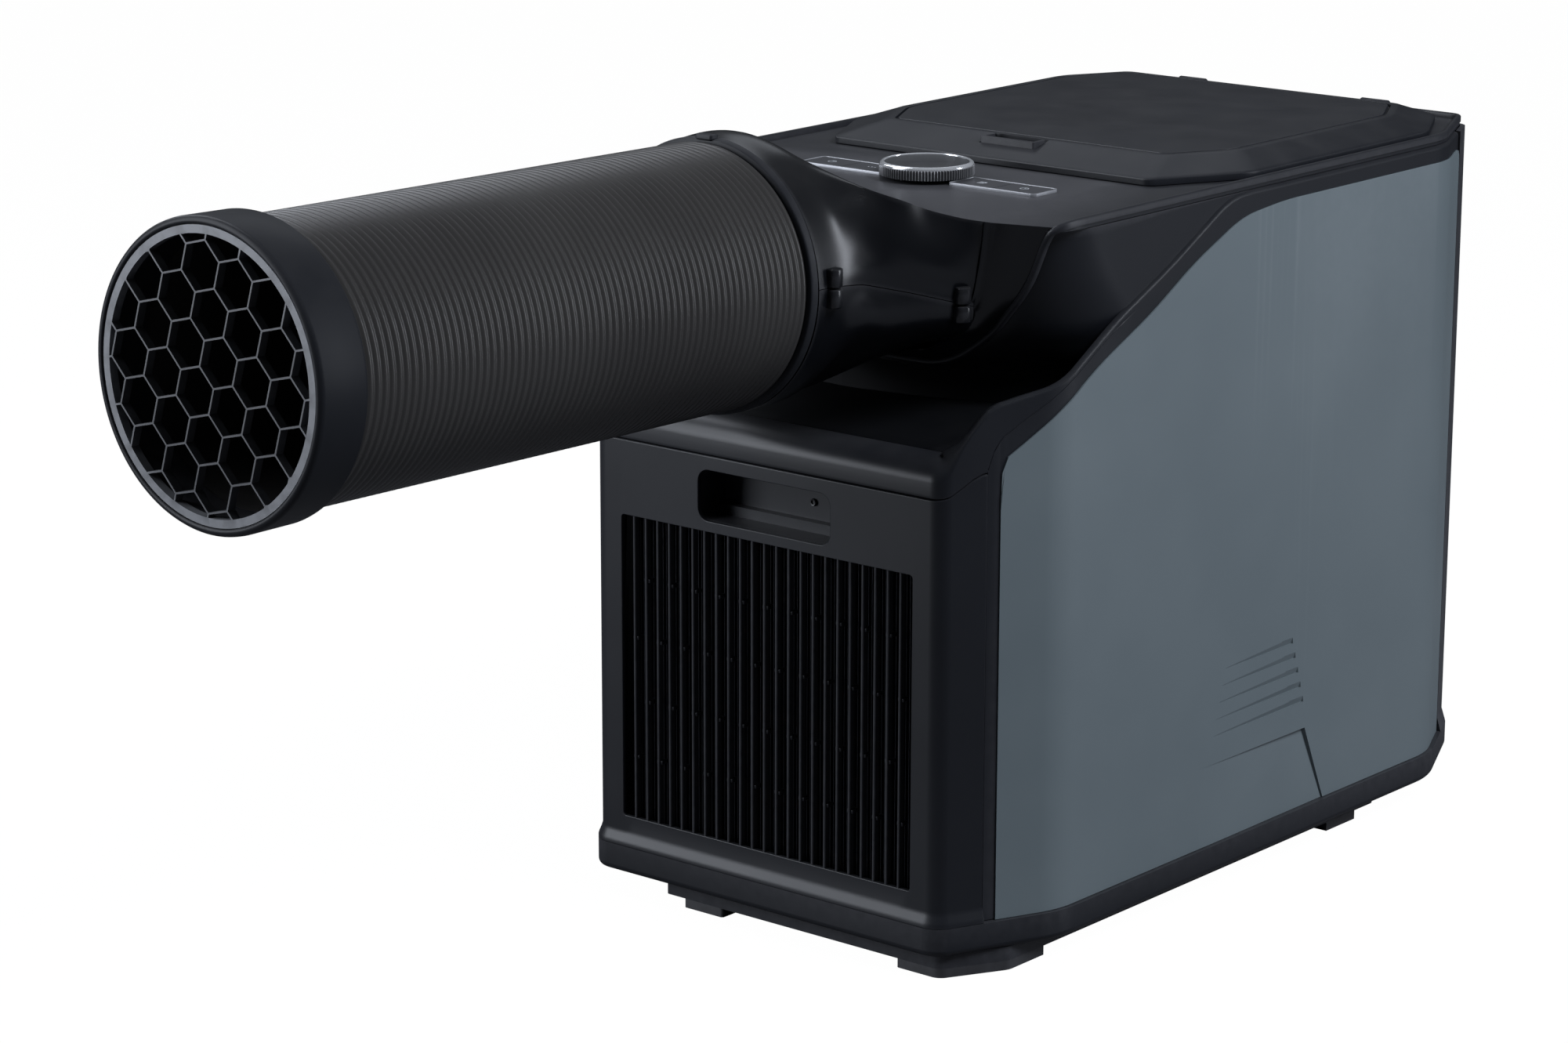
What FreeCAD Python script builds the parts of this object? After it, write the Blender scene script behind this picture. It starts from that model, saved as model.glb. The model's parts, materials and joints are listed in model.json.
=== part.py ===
import FreeCAD, Part
import math
import os
from FreeCAD import Vector

# Portable air conditioner with a corrugated cold-air duct on a neck at the top front.
# Millimetres.  While modelling, Y = 0 is the flat front face, +Y runs to the back and
# Z = 0 is the floor.  At export everything moves along Y so that the origin is the
# centre of the whole footprint, duct included.

# ---------------------------------------------------------------- driving dimensions
# body plan: an octagon with long corner facets
BODY_HALF_WIDTH = 159.5
BODY_DEPTH = 538.0
FACE_HALF_WIDTH = 127.0
FACET_RUN = 72.0
CORNER_RADIUS = 12.0
BEND_RADIUS = 60.0

# heights of the stack, from the floor
FOOT_HEIGHT = 5.5
SKID_HEIGHT = 8.5
TRAY_HEIGHT = 17.0
FRONT_PANEL_HEIGHT = 248.5
BIB_HEIGHT = 22.5
SIDE_PANEL_HEIGHT = 380.8
DECK_TOP = 425.3
RAIL_HEIGHT = 3.6
PARTITION_Z = 246.0

# walls
PANEL_WALL = 3.0
SIDE_WALL = 2.5
TRIM_WALL = 2.4
TRIM_INSET = 1.2
DECK_WALL = 3.0
PART_GAP = 0.3
RUNNING_GAP = 0.05
TRAY_OUTSET = 2.7
FLARE_HEIGHT = 9.0

# front and rear grilles and the carrying handles
GRILLE_PITCH = 9.0
GRILLE_SLOTS = 24
GRILLE_BAR = 1.8
GRILLE_HEIGHT = 184.0
GRILLE_BOTTOM = 50.0
HANDLE_HALF_WIDTH = 49.0
HANDLE_HEIGHT = 30.3
HANDLE_BOTTOM = 240.3
HANDLE_DEPTH = 24.0
HANDLE_RADIUS = 7.5

# side panel outline, seen from the side
PANEL_EDGE_Y = 34.5
STRIP_WIDTH = 7.5
SHOULDER_Z = 290.0
KNEE_Y = 80.0
KNEE_Z = 329.0
SLOPE_END_Y = 250.0
TRIM_RISE = 11.0

# neck, hose and outlet
DUCT_AXIS_Z = 396.5
DUCT_TILT_DEG = 0.9
NECK_RADIUS = 77.4
NECK_MOUTH_Y = -44.0
HEAD_FACE_Y = 67.5
HEAD_BOTTOM_Z = 337.5
HEAD_TOP_HALF = 151.0
HEAD_KNEE = (134.0, 386.0)
HEAD_FOOT_HALF = 92.0
HEAD_HALF = 107.0
SPLIT_DROP = 25.5
COLLAR_LENGTH = 6.0
HOSE_RADIUS = 75.0
HOSE_WALL = 3.2
HOSE_LENGTH = 345.0
OUTLET_RADIUS = 80.0
OUTLET_LENGTH = 33.0
OUTLET_WALL = 3.0
HOSE_LAP = 6.0
HEX_PITCH = 24.1
HEX_WEB = 1.0
HEX_DEPTH = 5.0
HEX_TURN_DEG = -14.2
HEX_OFFSET = 8.0

# controls
KNOB_Y = 148.0
KNOB_RADIUS = 28.0
KNOB_BASE_Z = 427.4
KNOB_HEIGHT = 8.2
SHAFT_RADIUS = 3.0
KEYBAR_INNER_X = 25.0
KEYBAR_OUTER_X = 87.0
KEYBAR_WIDTH = 24.0
KEY_TRAVEL = 1.2
BOARD_Z = 408.5

# lid
LID_HALF_WIDTH = 148.5
LID_FRONT_Y = 206.0
LID_LENGTH = 311.0
LID_FACE_HALF_WIDTH = 117.0
LID_FACET_RUN = 59.5
LID_FLANGE = 4.3
LID_RISE = 8.0
LID_TOP_INSET = 22.5
LID_WALL = 2.5
HINGE_RADIUS = 2.0
HINGE_X = 70.0
KNUCKLE_LENGTH = 20.0
LATCH_HALF_WIDTH = 20.0
LATCH_DEPTH = 12.0
LATCH_TRAVEL = 3.0
BIN_DEPTH = 42.0

# refrigeration parts
COIL_DEPTH = 26.0
FAN_RADIUS = 84.0
FAN_BLADES = 7
BLOWER_RADIUS = 52.0
BLOWER_HALF_WIDTH = 45.0
BLOWER_BLADES = 24
BLOWER_Y = 190.0
BLOWER_Z = 318.0
AXLE_RADIUS = 3.0
COMPRESSOR_RADIUS = 46.0
COMPRESSOR_HEIGHT = 165.0

# ---------------------------------------------------------------- derived levels
SKID_Z = FOOT_HEIGHT
TRAY_Z = FOOT_HEIGHT + SKID_HEIGHT
PANEL_Z = TRAY_Z + TRAY_HEIGHT
BIB_Z = PANEL_Z + FRONT_PANEL_HEIGHT
BIB_TOP = BIB_Z + BIB_HEIGHT
SIDE_TOP = PANEL_Z + SIDE_PANEL_HEIGHT
DECK_Z = DECK_TOP - DECK_WALL
STRIP_Y = PANEL_EDGE_Y - STRIP_WIDTH
GRILLE_HALF_WIDTH = GRILLE_SLOTS * GRILLE_PITCH / 2
NECK_END_Y = HEAD_FACE_Y + PANEL_WALL
X_AXIS = Vector(1, 0, 0)
Y_AXIS = Vector(0, 1, 0)
Z_AXIS = Vector(0, 0, 1)

nodes = {}


# ---------------------------------------------------------------- helpers
def box(x0, x1, y0, y1, z0, z1):
    return Part.makeBox(x1 - x0, y1 - y0, z1 - z0, Vector(x0, y0, z0))


def cylinder(radius, height, base, axis):
    return Part.makeCylinder(radius, height, base, axis)


def tube(outer, inner, height, base, axis):
    return cylinder(outer, height, base, axis).cut(cylinder(inner, height, base, axis))


def rounded_wire(points, radii):
    """Closed wire through the points, with a tangent arc of the given radius at each."""
    count = len(points)
    edges = []
    ends = []
    for i in range(count):
        here = points[i]
        to_last = (points[i - 1] - here).normalize()
        to_next = (points[(i + 1) % count] - here).normalize()
        half = to_last.getAngle(to_next) / 2
        if radii[i] == 0:
            ends.append((here, None, here))
            continue
        reach = radii[i] / math.tan(half)
        middle = (to_last + to_next).normalize()
        mid = here + middle * (radii[i] / math.sin(half) - radii[i])
        ends.append((here + to_last * reach, mid, here + to_next * reach))
    for i in range(count):
        start, mid, stop = ends[i]
        if mid is not None:
            edges.append(Part.Arc(start, mid, stop).toShape())
        following = ends[(i + 1) % count][0]
        if stop.distanceToPoint(following) > 1e-6:
            edges.append(Part.LineSegment(stop, following).toShape())
    return Part.Wire(edges)


def octagon(half_width, y0, length, face_half, run, inset):
    """Corner points of the plan outline, each side moved inwards by inset."""
    width = half_width - face_half
    lean = math.hypot(width, run)
    side = half_width - inset
    face = face_half - inset * (lean - width) / run
    knee = run + inset * (lean - run) / width
    y1 = y0 + length
    return [(-face, y0 + inset), (face, y0 + inset), (side, y0 + knee), (side, y1 - knee),
            (face, y1 - inset), (-face, y1 - inset), (-side, y1 - knee), (-side, y0 + knee)]


def body_wire(inset, z):
    corners = octagon(BODY_HALF_WIDTH, 0, BODY_DEPTH, FACE_HALF_WIDTH, FACET_RUN, inset)
    points = [Vector(x, y, z) for x, y in corners]
    corner = CORNER_RADIUS - inset
    bend = BEND_RADIUS - inset
    return rounded_wire(points, [corner, corner, bend, bend, corner, corner, bend, bend])


def body_prism(inset, z0, z1):
    return Part.Face(body_wire(inset, z0)).extrude(Vector(0, 0, z1 - z0))


def body_band(outer_inset, inner_inset, z0, z1):
    return body_prism(outer_inset, z0, z1).cut(body_prism(inner_inset, z0, z1))


def lid_wire(inset, front_extra, z):
    corners = octagon(LID_HALF_WIDTH, LID_FRONT_Y, LID_LENGTH, LID_FACE_HALF_WIDTH,
                      LID_FACET_RUN, inset)
    points = []
    for x, y in corners:
        shift = front_extra if y < LID_FRONT_Y + LID_LENGTH / 2 else 0
        points.append(Vector(x, y + shift, z))
    return rounded_wire(points, [8.0, 8.0, 30.0, 30.0, 8.0, 8.0, 30.0, 30.0])


def side_profile(grow, top, edge_y):
    """Side panel outline extruded across the body; grow widens it to the trim outline."""
    rear = BODY_DEPTH - edge_y
    lift = grow * 1.15
    points = [Vector(0, edge_y, PANEL_Z), Vector(0, edge_y, SHOULDER_Z + lift * 0.5),
              Vector(0, KNEE_Y - grow * 0.6, KNEE_Z + lift * 0.6),
              Vector(0, SLOPE_END_Y - grow * 0.6, top), Vector(0, rear, top),
              Vector(0, rear, PANEL_Z)]
    return Part.Face(rounded_wire(points, [0, 22.0, 30.0, 55.0, 5.0, 0]))


def side_region(grow, top, edge_y, side):
    reach = BODY_HALF_WIDTH + 20
    return side_profile(grow, top, edge_y).extrude(Vector(side * reach, 0, 0))


def rounded_box(x0, x1, z0, z1, radius, y0, y1):
    points = [Vector(x0, y0, z0), Vector(x1, y0, z0), Vector(x1, y0, z1), Vector(x0, y0, z1)]
    return Part.Face(rounded_wire(points, [radius] * 4)).extrude(Vector(0, y1 - y0, 0))


def neck_section(y, inset):
    """Cross-section of the neck: a circle at the mouth, a wide rounded form at the head."""
    t = (y - NECK_MOUTH_Y) / (NECK_END_Y - NECK_MOUTH_Y)
    t = min(max(t, 0.0), 1.0) ** 1.25
    ease = t * t * (3 - 2 * t)
    head_top = DECK_TOP - 0.8
    head_bottom = HEAD_BOTTOM_Z + 4
    head_centre = (head_top + head_bottom) / 2
    head_half = (head_top - head_bottom) / 2
    half_x = NECK_RADIUS + ease * (HEAD_HALF - NECK_RADIUS) - inset
    half_z = NECK_RADIUS + ease * (head_half - NECK_RADIUS) - inset
    centre = DUCT_AXIS_Z + ease * (head_centre - DUCT_AXIS_Z)
    power = 2 / (2 + 1.6 * ease)
    points = []
    count = 40
    for i in range(count):
        angle = 2 * math.pi * i / count
        c = math.cos(angle)
        s = math.sin(angle)
        x = half_x * math.copysign(abs(c) ** power, c)
        z = centre + half_z * math.copysign(abs(s) ** power, s)
        points.append(Vector(x, y, z))
    curve = Part.BSplineCurve()
    curve.interpolate(points, PeriodicFlag=True)
    return Part.Wire(curve.toShape())


def neck_solid(inset, y0, y1):
    count = 7
    stations = [y0 + (y1 - y0) * i / (count - 1) for i in range(count)]
    return Part.makeLoft([neck_section(y, inset) for y in stations], True)


def head_face(y0, y1):
    """U-shaped head plate: flat at the deck, sides that lean in to a narrower foot."""
    knee, knee_z = HEAD_KNEE
    points = [Vector(-HEAD_TOP_HALF, y0, DECK_TOP), Vector(-knee, y0, knee_z),
              Vector(-HEAD_FOOT_HALF, y0, HEAD_BOTTOM_Z), Vector(HEAD_FOOT_HALF, y0, HEAD_BOTTOM_Z),
              Vector(knee, y0, knee_z), Vector(HEAD_TOP_HALF, y0, DECK_TOP)]
    wire = rounded_wire(points, [0, 60, 40, 40, 60, 0])
    return Part.Face(wire).extrude(Vector(0, y1 - y0, 0))


def above_split(drop):
    """Everything above the neck's split line, which slopes down towards the head."""
    line = [(-200, 0), (NECK_MOUTH_Y, 0), (-8, -2.5), (54, -SPLIT_DROP), (300, -SPLIT_DROP - 80)]
    points = [Vector(-400, y, DUCT_AXIS_Z + z - drop) for y, z in line]
    points += [Vector(-400, 300, 900), Vector(-400, -200, 900)]
    return Part.Face(Part.makePolygon(points + [points[0]])).extrude(Vector(800, 0, 0))


# ---------------------------------------------------------------- base
def build_base():
    outer = body_prism(-TRAY_OUTSET, TRAY_Z, PANEL_Z)
    outer = outer.makeFillet(4.0, [e for e in outer.Edges if e.CenterOfMass.z < TRAY_Z + 0.01])
    tray = outer.cut(body_prism(PANEL_WALL + PART_GAP, TRAY_Z + PANEL_WALL, PANEL_Z))
    drain = cylinder(8.0 + RUNNING_GAP, 30, Vector(-95, BODY_DEPTH + 20, TRAY_Z + 8.5), -Y_AXIS)
    tray = tray.cut(drain)
    nodes["base_tray"] = tray

    # skid plate: full at the front right and rear left corners, cut back at the other two
    skid_side = BODY_HALF_WIDTH - 12.5
    skid_front = 5.0
    skid_face = FACE_HALF_WIDTH - 1.5
    cut_x = 78.0
    cut_y = 115.0
    knee = FACET_RUN - 29.0
    half = [(-cut_x, skid_front), (skid_face, skid_front), (skid_side, knee),
            (skid_side, BODY_DEPTH - cut_y)]
    outline = half + [(-x, BODY_DEPTH - y) for x, y in half]
    points = [Vector(x, y, SKID_Z) for x, y in outline]
    wire = rounded_wire(points, [3.0, 8.0, 12.0, 6.0] * 2)
    skid = Part.Face(wire).extrude(Vector(0, 0, SKID_HEIGHT))
    pocket_z = SKID_Z + PANEL_WALL
    inner_wire = wire.makeOffset2D(-PANEL_WALL)
    pocket = Part.Face(inner_wire).extrude(Vector(0, 0, SKID_HEIGHT))
    pocket.translate(Vector(0, 0, pocket_z - SKID_Z))
    nodes["skid_plate"] = skid.cut(pocket)

    # feet: a pad beside each cut corner and a block wrapped round each full corner
    pad_x0 = -65.0
    pad_x1 = -35.0
    pad = box(pad_x0, pad_x1, skid_front, skid_front + 32, 0, FOOT_HEIGHT)
    pad = pad.makeFillet(2.0, [e for e in pad.Edges if abs(e.tangentAt(e.FirstParameter).z) > 0.9])
    side_pad = box(skid_side - 30, skid_side, BODY_DEPTH - cut_y - 52, BODY_DEPTH - cut_y - 20,
                   0, FOOT_HEIGHT)
    corner_points = [(95, skid_front), (skid_face, skid_front), (skid_side, knee),
                     (skid_side, knee + 34), (skid_side - 30, knee + 34), (95, knee - 8)]
    corner = [Vector(x, y, 0) for x, y in corner_points]
    block = Part.Face(rounded_wire(corner, [2.0, 8.0, 12.0, 2.0, 4.0, 4.0]))
    block = block.extrude(Vector(0, 0, FOOT_HEIGHT))
    feet = [pad, side_pad, block]
    middle = Vector(0, BODY_DEPTH / 2, 0)
    for piece in list(feet):
        twin = piece.copy()
        twin.rotate(middle, Z_AXIS, 180)
        feet.append(twin)
    nodes["feet"] = Part.makeCompound(feet)

    plug = cylinder(8.0, 14, Vector(-95, BODY_DEPTH + TRAY_OUTSET - 8, TRAY_Z + 8.5), Y_AXIS)
    grip = box(-101, -89, BODY_DEPTH + TRAY_OUTSET + 3, BODY_DEPTH + TRAY_OUTSET + 8,
               TRAY_Z + 7, TRAY_Z + 10)
    nodes["drain_plug"] = plug.fuse(grip).removeSplitter()


# ---------------------------------------------------------------- front and rear panels
def flared_band(z_top):
    """Black end panel band with the outward flare where it meets the tray."""
    flare = Part.makeLoft([body_wire(-TRAY_OUTSET, PANEL_Z), body_wire(0, PANEL_Z + FLARE_HEIGHT)],
                          True, True)
    upright = body_prism(0, PANEL_Z + FLARE_HEIGHT, z_top)
    return flare.fuse(upright).cut(body_prism(PANEL_WALL, PANEL_Z, z_top))


def end_grille(flip):
    """Vertical bar grille behind an end panel's opening, with a frame and tie rods."""
    z0 = GRILLE_BOTTOM
    z1 = GRILLE_BOTTOM + GRILLE_HEIGHT
    half = GRILLE_HALF_WIDTH
    back = PANEL_WALL + PART_GAP
    frame = box(-half - 4, half + 4, back, back + 3.5, z0 - 2.2, z1 + 2.2)
    frame = frame.cut(box(-half, half, 0, 20, z0, z1))
    pieces = []
    for i in range(1, GRILLE_SLOTS):
        x = -half + i * GRILLE_PITCH
        pieces.append(box(x - GRILLE_BAR / 2, x + GRILLE_BAR / 2, 0.8, back + 3.5,
                          z0 + PART_GAP, z1 - PART_GAP))
        pieces.append(box(x - GRILLE_BAR / 2, x + GRILLE_BAR / 2, back, back + 3.5, z0 - 2, z1 + 2))
    for part in (0.2, 0.5, 0.8):
        z = z0 + part * GRILLE_HEIGHT
        pieces.append(box(-half - 1, half + 1, back + 1.5, back + 3.5, z - 1, z + 1))
    grille = frame.multiFuse(pieces).removeSplitter()
    if flip:
        grille.rotate(Vector(0, BODY_DEPTH / 2, 0), Z_AXIS, 180)
    return grille


def handle_opening(grow, y0, y1, z0):
    return rounded_box(-HANDLE_HALF_WIDTH - grow, HANDLE_HALF_WIDTH + grow, z0 - grow,
                       z0 + HANDLE_HEIGHT + grow, HANDLE_RADIUS + grow, y0, y1)


def handle_cup(z0, flip):
    """Finger recess moulded as a cup, with a ledge along its lower back edge."""
    wall = 2.2
    y0 = PANEL_WALL + PART_GAP
    cup = handle_opening(wall, y0, y0 + HANDLE_DEPTH, z0)
    cup = cup.cut(handle_opening(0, y0, y0 + HANDLE_DEPTH - wall, z0))
    flange = handle_opening(wall + 1.4, y0, y0 + 2, z0).cut(handle_opening(0, y0, y0 + 2, z0))
    ledge = box(-HANDLE_HALF_WIDTH - 1, HANDLE_HALF_WIDTH + 1, y0 + HANDLE_DEPTH - 8,
                y0 + HANDLE_DEPTH - 1, z0 - 1, z0 + 6)
    cup = cup.fuse([flange, ledge]).removeSplitter()
    if flip:
        cup.rotate(Vector(0, BODY_DEPTH / 2, 0), Z_AXIS, 180)
    return cup


def build_ends():
    z0 = GRILLE_BOTTOM
    z1 = GRILLE_BOTTOM + GRILLE_HEIGHT
    half = GRILLE_HALF_WIDTH + 0.1
    front_half = box(-400, 400, -50, STRIP_Y, 0, 600)
    front = flared_band(BIB_Z - PART_GAP).common(front_half)
    front = front.cut(box(-half, half, -10, 10, z0, z1))
    front = front.cut(handle_opening(0, -10, 10, HANDLE_BOTTOM))
    nodes["front_panel"] = front
    nodes["front_grille"] = end_grille(False)
    nodes["front_handle_cup"] = handle_cup(HANDLE_BOTTOM, False)

    rear_half = box(-400, 400, BODY_DEPTH - STRIP_Y, BODY_DEPTH + 50, 0, 600)
    rear = flared_band(DECK_Z - PART_GAP).common(rear_half)
    y = BODY_DEPTH
    rear = rear.cut(box(-half, half, y - 10, y + 10, z0, z1))
    rear = rear.cut(handle_opening(0, y - 10, y + 10, rear_handle_z()))
    rear = rear.cut(box(-90, 90, y - 10, y + 10, intake_z()[0], intake_z()[1]))
    rear = rear.cut(rounded_box(-inlet_x() - 14, -inlet_x() + 14, inlet_z() - 10, inlet_z() + 10,
                                3.0, y - 10, y + 10))
    nodes["rear_panel"] = rear
    nodes["rear_grille"] = end_grille(True)
    nodes["rear_handle_cup"] = handle_cup(rear_handle_z(), True)

    # return-air grille above, horizontal louvres, with its washable filter behind it
    low, high = intake_z()
    back = y - PANEL_WALL - PART_GAP
    frame = box(-94, 94, back - 4, back, low - 4, high + 4).cut(box(-90, 90, back - 9, back + 9,
                                                                  low, high))
    louvres = []
    count = int((high - low) / 9)
    for i in range(1, count):
        z = low + (high - low) * i / count
        louvres.append(box(-91, 91, back - 3, y - 0.8, z - 0.9, z + 0.9))
    inner_louvres = [piece.common(box(-89.7, 89.7, back, y, low, high)) for piece in louvres]
    rear_part = [piece.common(box(-91, 91, back - 3, back, low, high)) for piece in louvres]
    nodes["return_grille"] = frame.multiFuse(inner_louvres + rear_part).removeSplitter()
    filter_frame = box(-94, 94, back - 12, back - 4.5, low - 4, high + 4)
    filter_frame = filter_frame.cut(box(-90, 90, back - 20, back, low, high))
    mesh = [box(-91, 91, back - 9, back - 8, low + (high - low) * i / 9 - 0.5,
                low + (high - low) * i / 9 + 0.5) for i in range(1, 9)]
    mesh += [box(x - 0.5, x + 0.5, back - 9, back - 8, low - 1, high + 1)
             for x in range(-80, 81, 20)]
    nodes["air_filter"] = filter_frame.multiFuse(mesh).removeSplitter()

    # power inlet: a shrouded socket with three contacts
    x = -inlet_x()
    z = inlet_z()
    shroud = rounded_box(x - 16, x + 16, z - 12, z + 12, 4.0, y - PANEL_WALL - 18.3,
                         y - PANEL_WALL - PART_GAP)
    shroud = shroud.cut(rounded_box(x - 12, x + 12, z - 8, z + 8, 3.0, y - PANEL_WALL - 16,
                                    y))
    contacts = [box(x + dx - 1, x + dx + 1, y - PANEL_WALL - 17, y - PANEL_WALL - 6,
                    z + dz - 2, z + dz + 2) for dx, dz in ((-7, -1), (7, -1), (0, 2))]
    nodes["power_inlet"] = shroud.multiFuse(contacts).removeSplitter()


def rear_handle_z():
    return DECK_Z - HANDLE_HEIGHT - 16


def intake_z():
    return PARTITION_Z + 22, rear_handle_z() - 16


def inlet_x():
    return FACE_HALF_WIDTH - 24


def inlet_z():
    return PARTITION_Z + 5


# ---------------------------------------------------------------- sides
def build_sides():
    for side, name in ((-1, "left"), (1, "right")):
        shell = body_band(0, SIDE_WALL, PANEL_Z, SIDE_TOP)
        panel = shell.common(side_region(0, SIDE_TOP, PANEL_EDGE_Y, side))
        vents = []
        for i in range(5):
            z = 91.0 + 9.9 * i
            y1 = 320.0 - 3.4 * i
            y0 = 222.0 + 4.2 * i
            slot = box(BODY_HALF_WIDTH - 1.2, BODY_HALF_WIDTH + 5, y0, y1, z, z + 3.2)
            vents.append(slot)
        relief = [Vector(BODY_HALF_WIDTH - 1.0, y, PANEL_Z + z)
                  for y, z in ((215, 48), (324, 48), (345, -1), (192, -1))]
        vents.append(Part.Face(rounded_wire(relief, [2, 5, 0, 0])).extrude(Vector(5, 0, 0)))
        for slot in vents:
            if side < 0:
                slot.rotate(Vector(0, 0, 0), Z_AXIS, 180)
                slot = slot.mirror(Vector(0, 0, 0), Y_AXIS)
            panel = panel.cut(slot)
        nodes["side_panel_" + name] = panel

        top = DECK_Z - PART_GAP
        strip = body_band(TRIM_INSET, TRIM_INSET + TRIM_WALL, PANEL_Z, top)
        strip = strip.common(side_region(TRIM_RISE, top, STRIP_Y + PART_GAP, side))
        nodes["side_trim_" + name] = strip.cut(side_region(2 * PART_GAP, SIDE_TOP + PART_GAP,
                                                           PANEL_EDGE_Y - PART_GAP, side))


# ---------------------------------------------------------------- upper housing, deck and neck
def build_upper():
    inset = TRIM_INSET + TRIM_WALL + PART_GAP
    wall = PANEL_WALL
    top = DECK_Z - PART_GAP
    back = HEAD_FACE_Y + DECK_WALL + PART_GAP
    cheeks = body_band(inset, inset + wall, BIB_Z, top)
    cheeks = cheeks.common(box(-400, 400, STRIP_Y - 2, BODY_DEPTH - STRIP_Y - 1, 0, 600))
    profile = side_profile(TRIM_RISE - 2, top - 1, STRIP_Y)
    profile = profile.extrude(Vector(400, 0, 0)).fuse(profile.extrude(Vector(-400, 0, 0)))
    cheeks = cheeks.common(profile.fuse(box(-400, 400, back, BODY_DEPTH, 0, 600)))
    bib = body_band(0, inset + wall, BIB_Z, BIB_TOP)
    bib = bib.common(box(-400, 400, -50, STRIP_Y, 0, 600))
    floor_points = [Vector(0, 1.0, BIB_TOP - 6), Vector(0, back + wall, BIB_TOP + 12),
                    Vector(0, back + wall, BIB_TOP + 15), Vector(0, 3.5, BIB_TOP - 0.5)]
    floor_face = Part.makePolygon(floor_points + [floor_points[0]])
    floor = Part.Face(floor_face).extrude(Vector(800, 0, 0))
    floor.translate(Vector(-400, 0, 0))
    floor = floor.common(body_prism(inset + wall - 1, BIB_Z, top))
    wall_plate = box(-400, 400, back, back + wall, BIB_TOP + 10, top)
    wall_plate = wall_plate.common(body_prism(inset + wall - 1, BIB_Z, top))
    wall_plate = wall_plate.cut(neck_window(0))
    housing = cheeks.multiFuse([bib, floor, wall_plate]).removeSplitter()
    nodes["upper_housing"] = housing

    # deck with its raised rail, the knob and key openings and the bin opening
    deck = body_prism(3.0, DECK_Z, DECK_TOP).common(box(-400, 400, HEAD_FACE_Y, 900, 0, 900))
    rail = body_band(3.0, 6.0, DECK_TOP - 1, DECK_TOP + RAIL_HEIGHT)
    rail = rail.common(box(-400, 400, HEAD_FACE_Y + 22, 900, 0, 900))
    face = head_face(HEAD_FACE_Y, HEAD_FACE_Y + DECK_WALL)
    neck = neck_solid(0, NECK_MOUTH_Y, NECK_END_Y)
    shell = face.fuse(neck)
    hollow = neck_solid(DECK_WALL, NECK_MOUTH_Y - 1, NECK_END_Y + 1)
    shell = shell.cut(hollow)
    upper = shell.common(above_split(0))
    lower = shell.cut(above_split(0.2))
    deck = deck.cut(hollow)
    deck = deck.multiFuse([rail, upper])
    cuts = [cylinder(SHAFT_RADIUS + RUNNING_GAP, 40, Vector(0, KNOB_Y, DECK_Z - 20), Z_AXIS)]
    for side in (-1, 1):
        for x0, x1 in key_spans():
            a = min(side * x0, side * x1)
            cuts.append(box(a - PART_GAP, a + (x1 - x0) + PART_GAP,
                            KNOB_Y - KEYBAR_WIDTH / 2 + 1.5 - PART_GAP,
                            KNOB_Y + KEYBAR_WIDTH / 2 - 1.5 + PART_GAP, DECK_Z - 1, 500))
    cuts.append(bin_block(0, DECK_Z - 1, DECK_TOP + 1))
    hinge_y, hinge_z = hinge_line()
    cuts.append(box(-LID_FACE_HALF_WIDTH, LID_FACE_HALF_WIDTH, hinge_y - 7, hinge_y + 6,
                    DECK_Z + 1.0, DECK_TOP + 1))
    deck = deck.cut(Part.makeCompound(cuts))
    lugs = []
    for x0, x1 in deck_lug_spans():
        lug = cylinder(HINGE_RADIUS + 2, x1 - x0, Vector(x0, hinge_y, hinge_z), X_AXIS)
        lug = lug.fuse(box(x0, x1, hinge_y - 3, hinge_y + 3, DECK_Z + 0.5, hinge_z))
        lugs.append(lug)
    deck = deck.multiFuse(lugs)
    deck = deck.cut(cylinder(HINGE_RADIUS, 400, Vector(-200, hinge_y, hinge_z), X_AXIS))

    clips = []
    pockets = []
    for side in (-1, 1):
        for x, y, z, turn in neck_clip_places():
            clips.append(clip_solid(side * x, y, z, side * turn, 0))
            pockets.append(clip_solid(side * x, y, z, side * turn, 0.1))
    pocket = Part.makeCompound(pockets)
    nodes["top_deck"] = deck.cut(pocket).removeSplitter()
    nodes["neck_lower"] = lower.cut(pocket)
    nodes["neck_clips"] = Part.makeCompound(clips)


def neck_window(grow):
    """Opening in the housing wall behind the head, where the air path goes through."""
    low = HEAD_BOTTOM_Z + 12
    return rounded_box(-88 - grow, 88 + grow, low - grow, BOARD_Z - 2 + grow, 12, HEAD_FACE_Y - 10,
                       HEAD_FACE_Y + 40)


def neck_clip_places():
    """Half-round snap clips across the neck's split line: near the mouth and on the head."""
    return ((NECK_RADIUS, NECK_MOUTH_Y + 11, DUCT_AXIS_Z - 4, 0.0),
            (97.0, 54.0, DUCT_AXIS_Z - SPLIT_DROP, -25.0))


def clip_solid(x, y, z, turn, grow):
    clip = box(-5.5 - grow, 5.5 + grow, -5.5 - grow, 5.5 + grow, z - 11 - grow, z + 11 + grow)
    clip = clip.makeFillet(2.5 + grow, [e for e in clip.Edges
                                        if abs(e.tangentAt(e.FirstParameter).z) > 0.9])
    clip.rotate(Vector(0, 0, 0), Z_AXIS, turn)
    clip.translate(Vector(x, y, 0))
    return clip


# ---------------------------------------------------------------- duct
def duct_frame():
    """Base point at the neck mouth and the unit vector that the duct follows forwards."""
    tilt = math.radians(DUCT_TILT_DEG)
    return Vector(0, NECK_MOUTH_Y, DUCT_AXIS_Z), Vector(0, -math.cos(tilt), math.sin(tilt))


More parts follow.
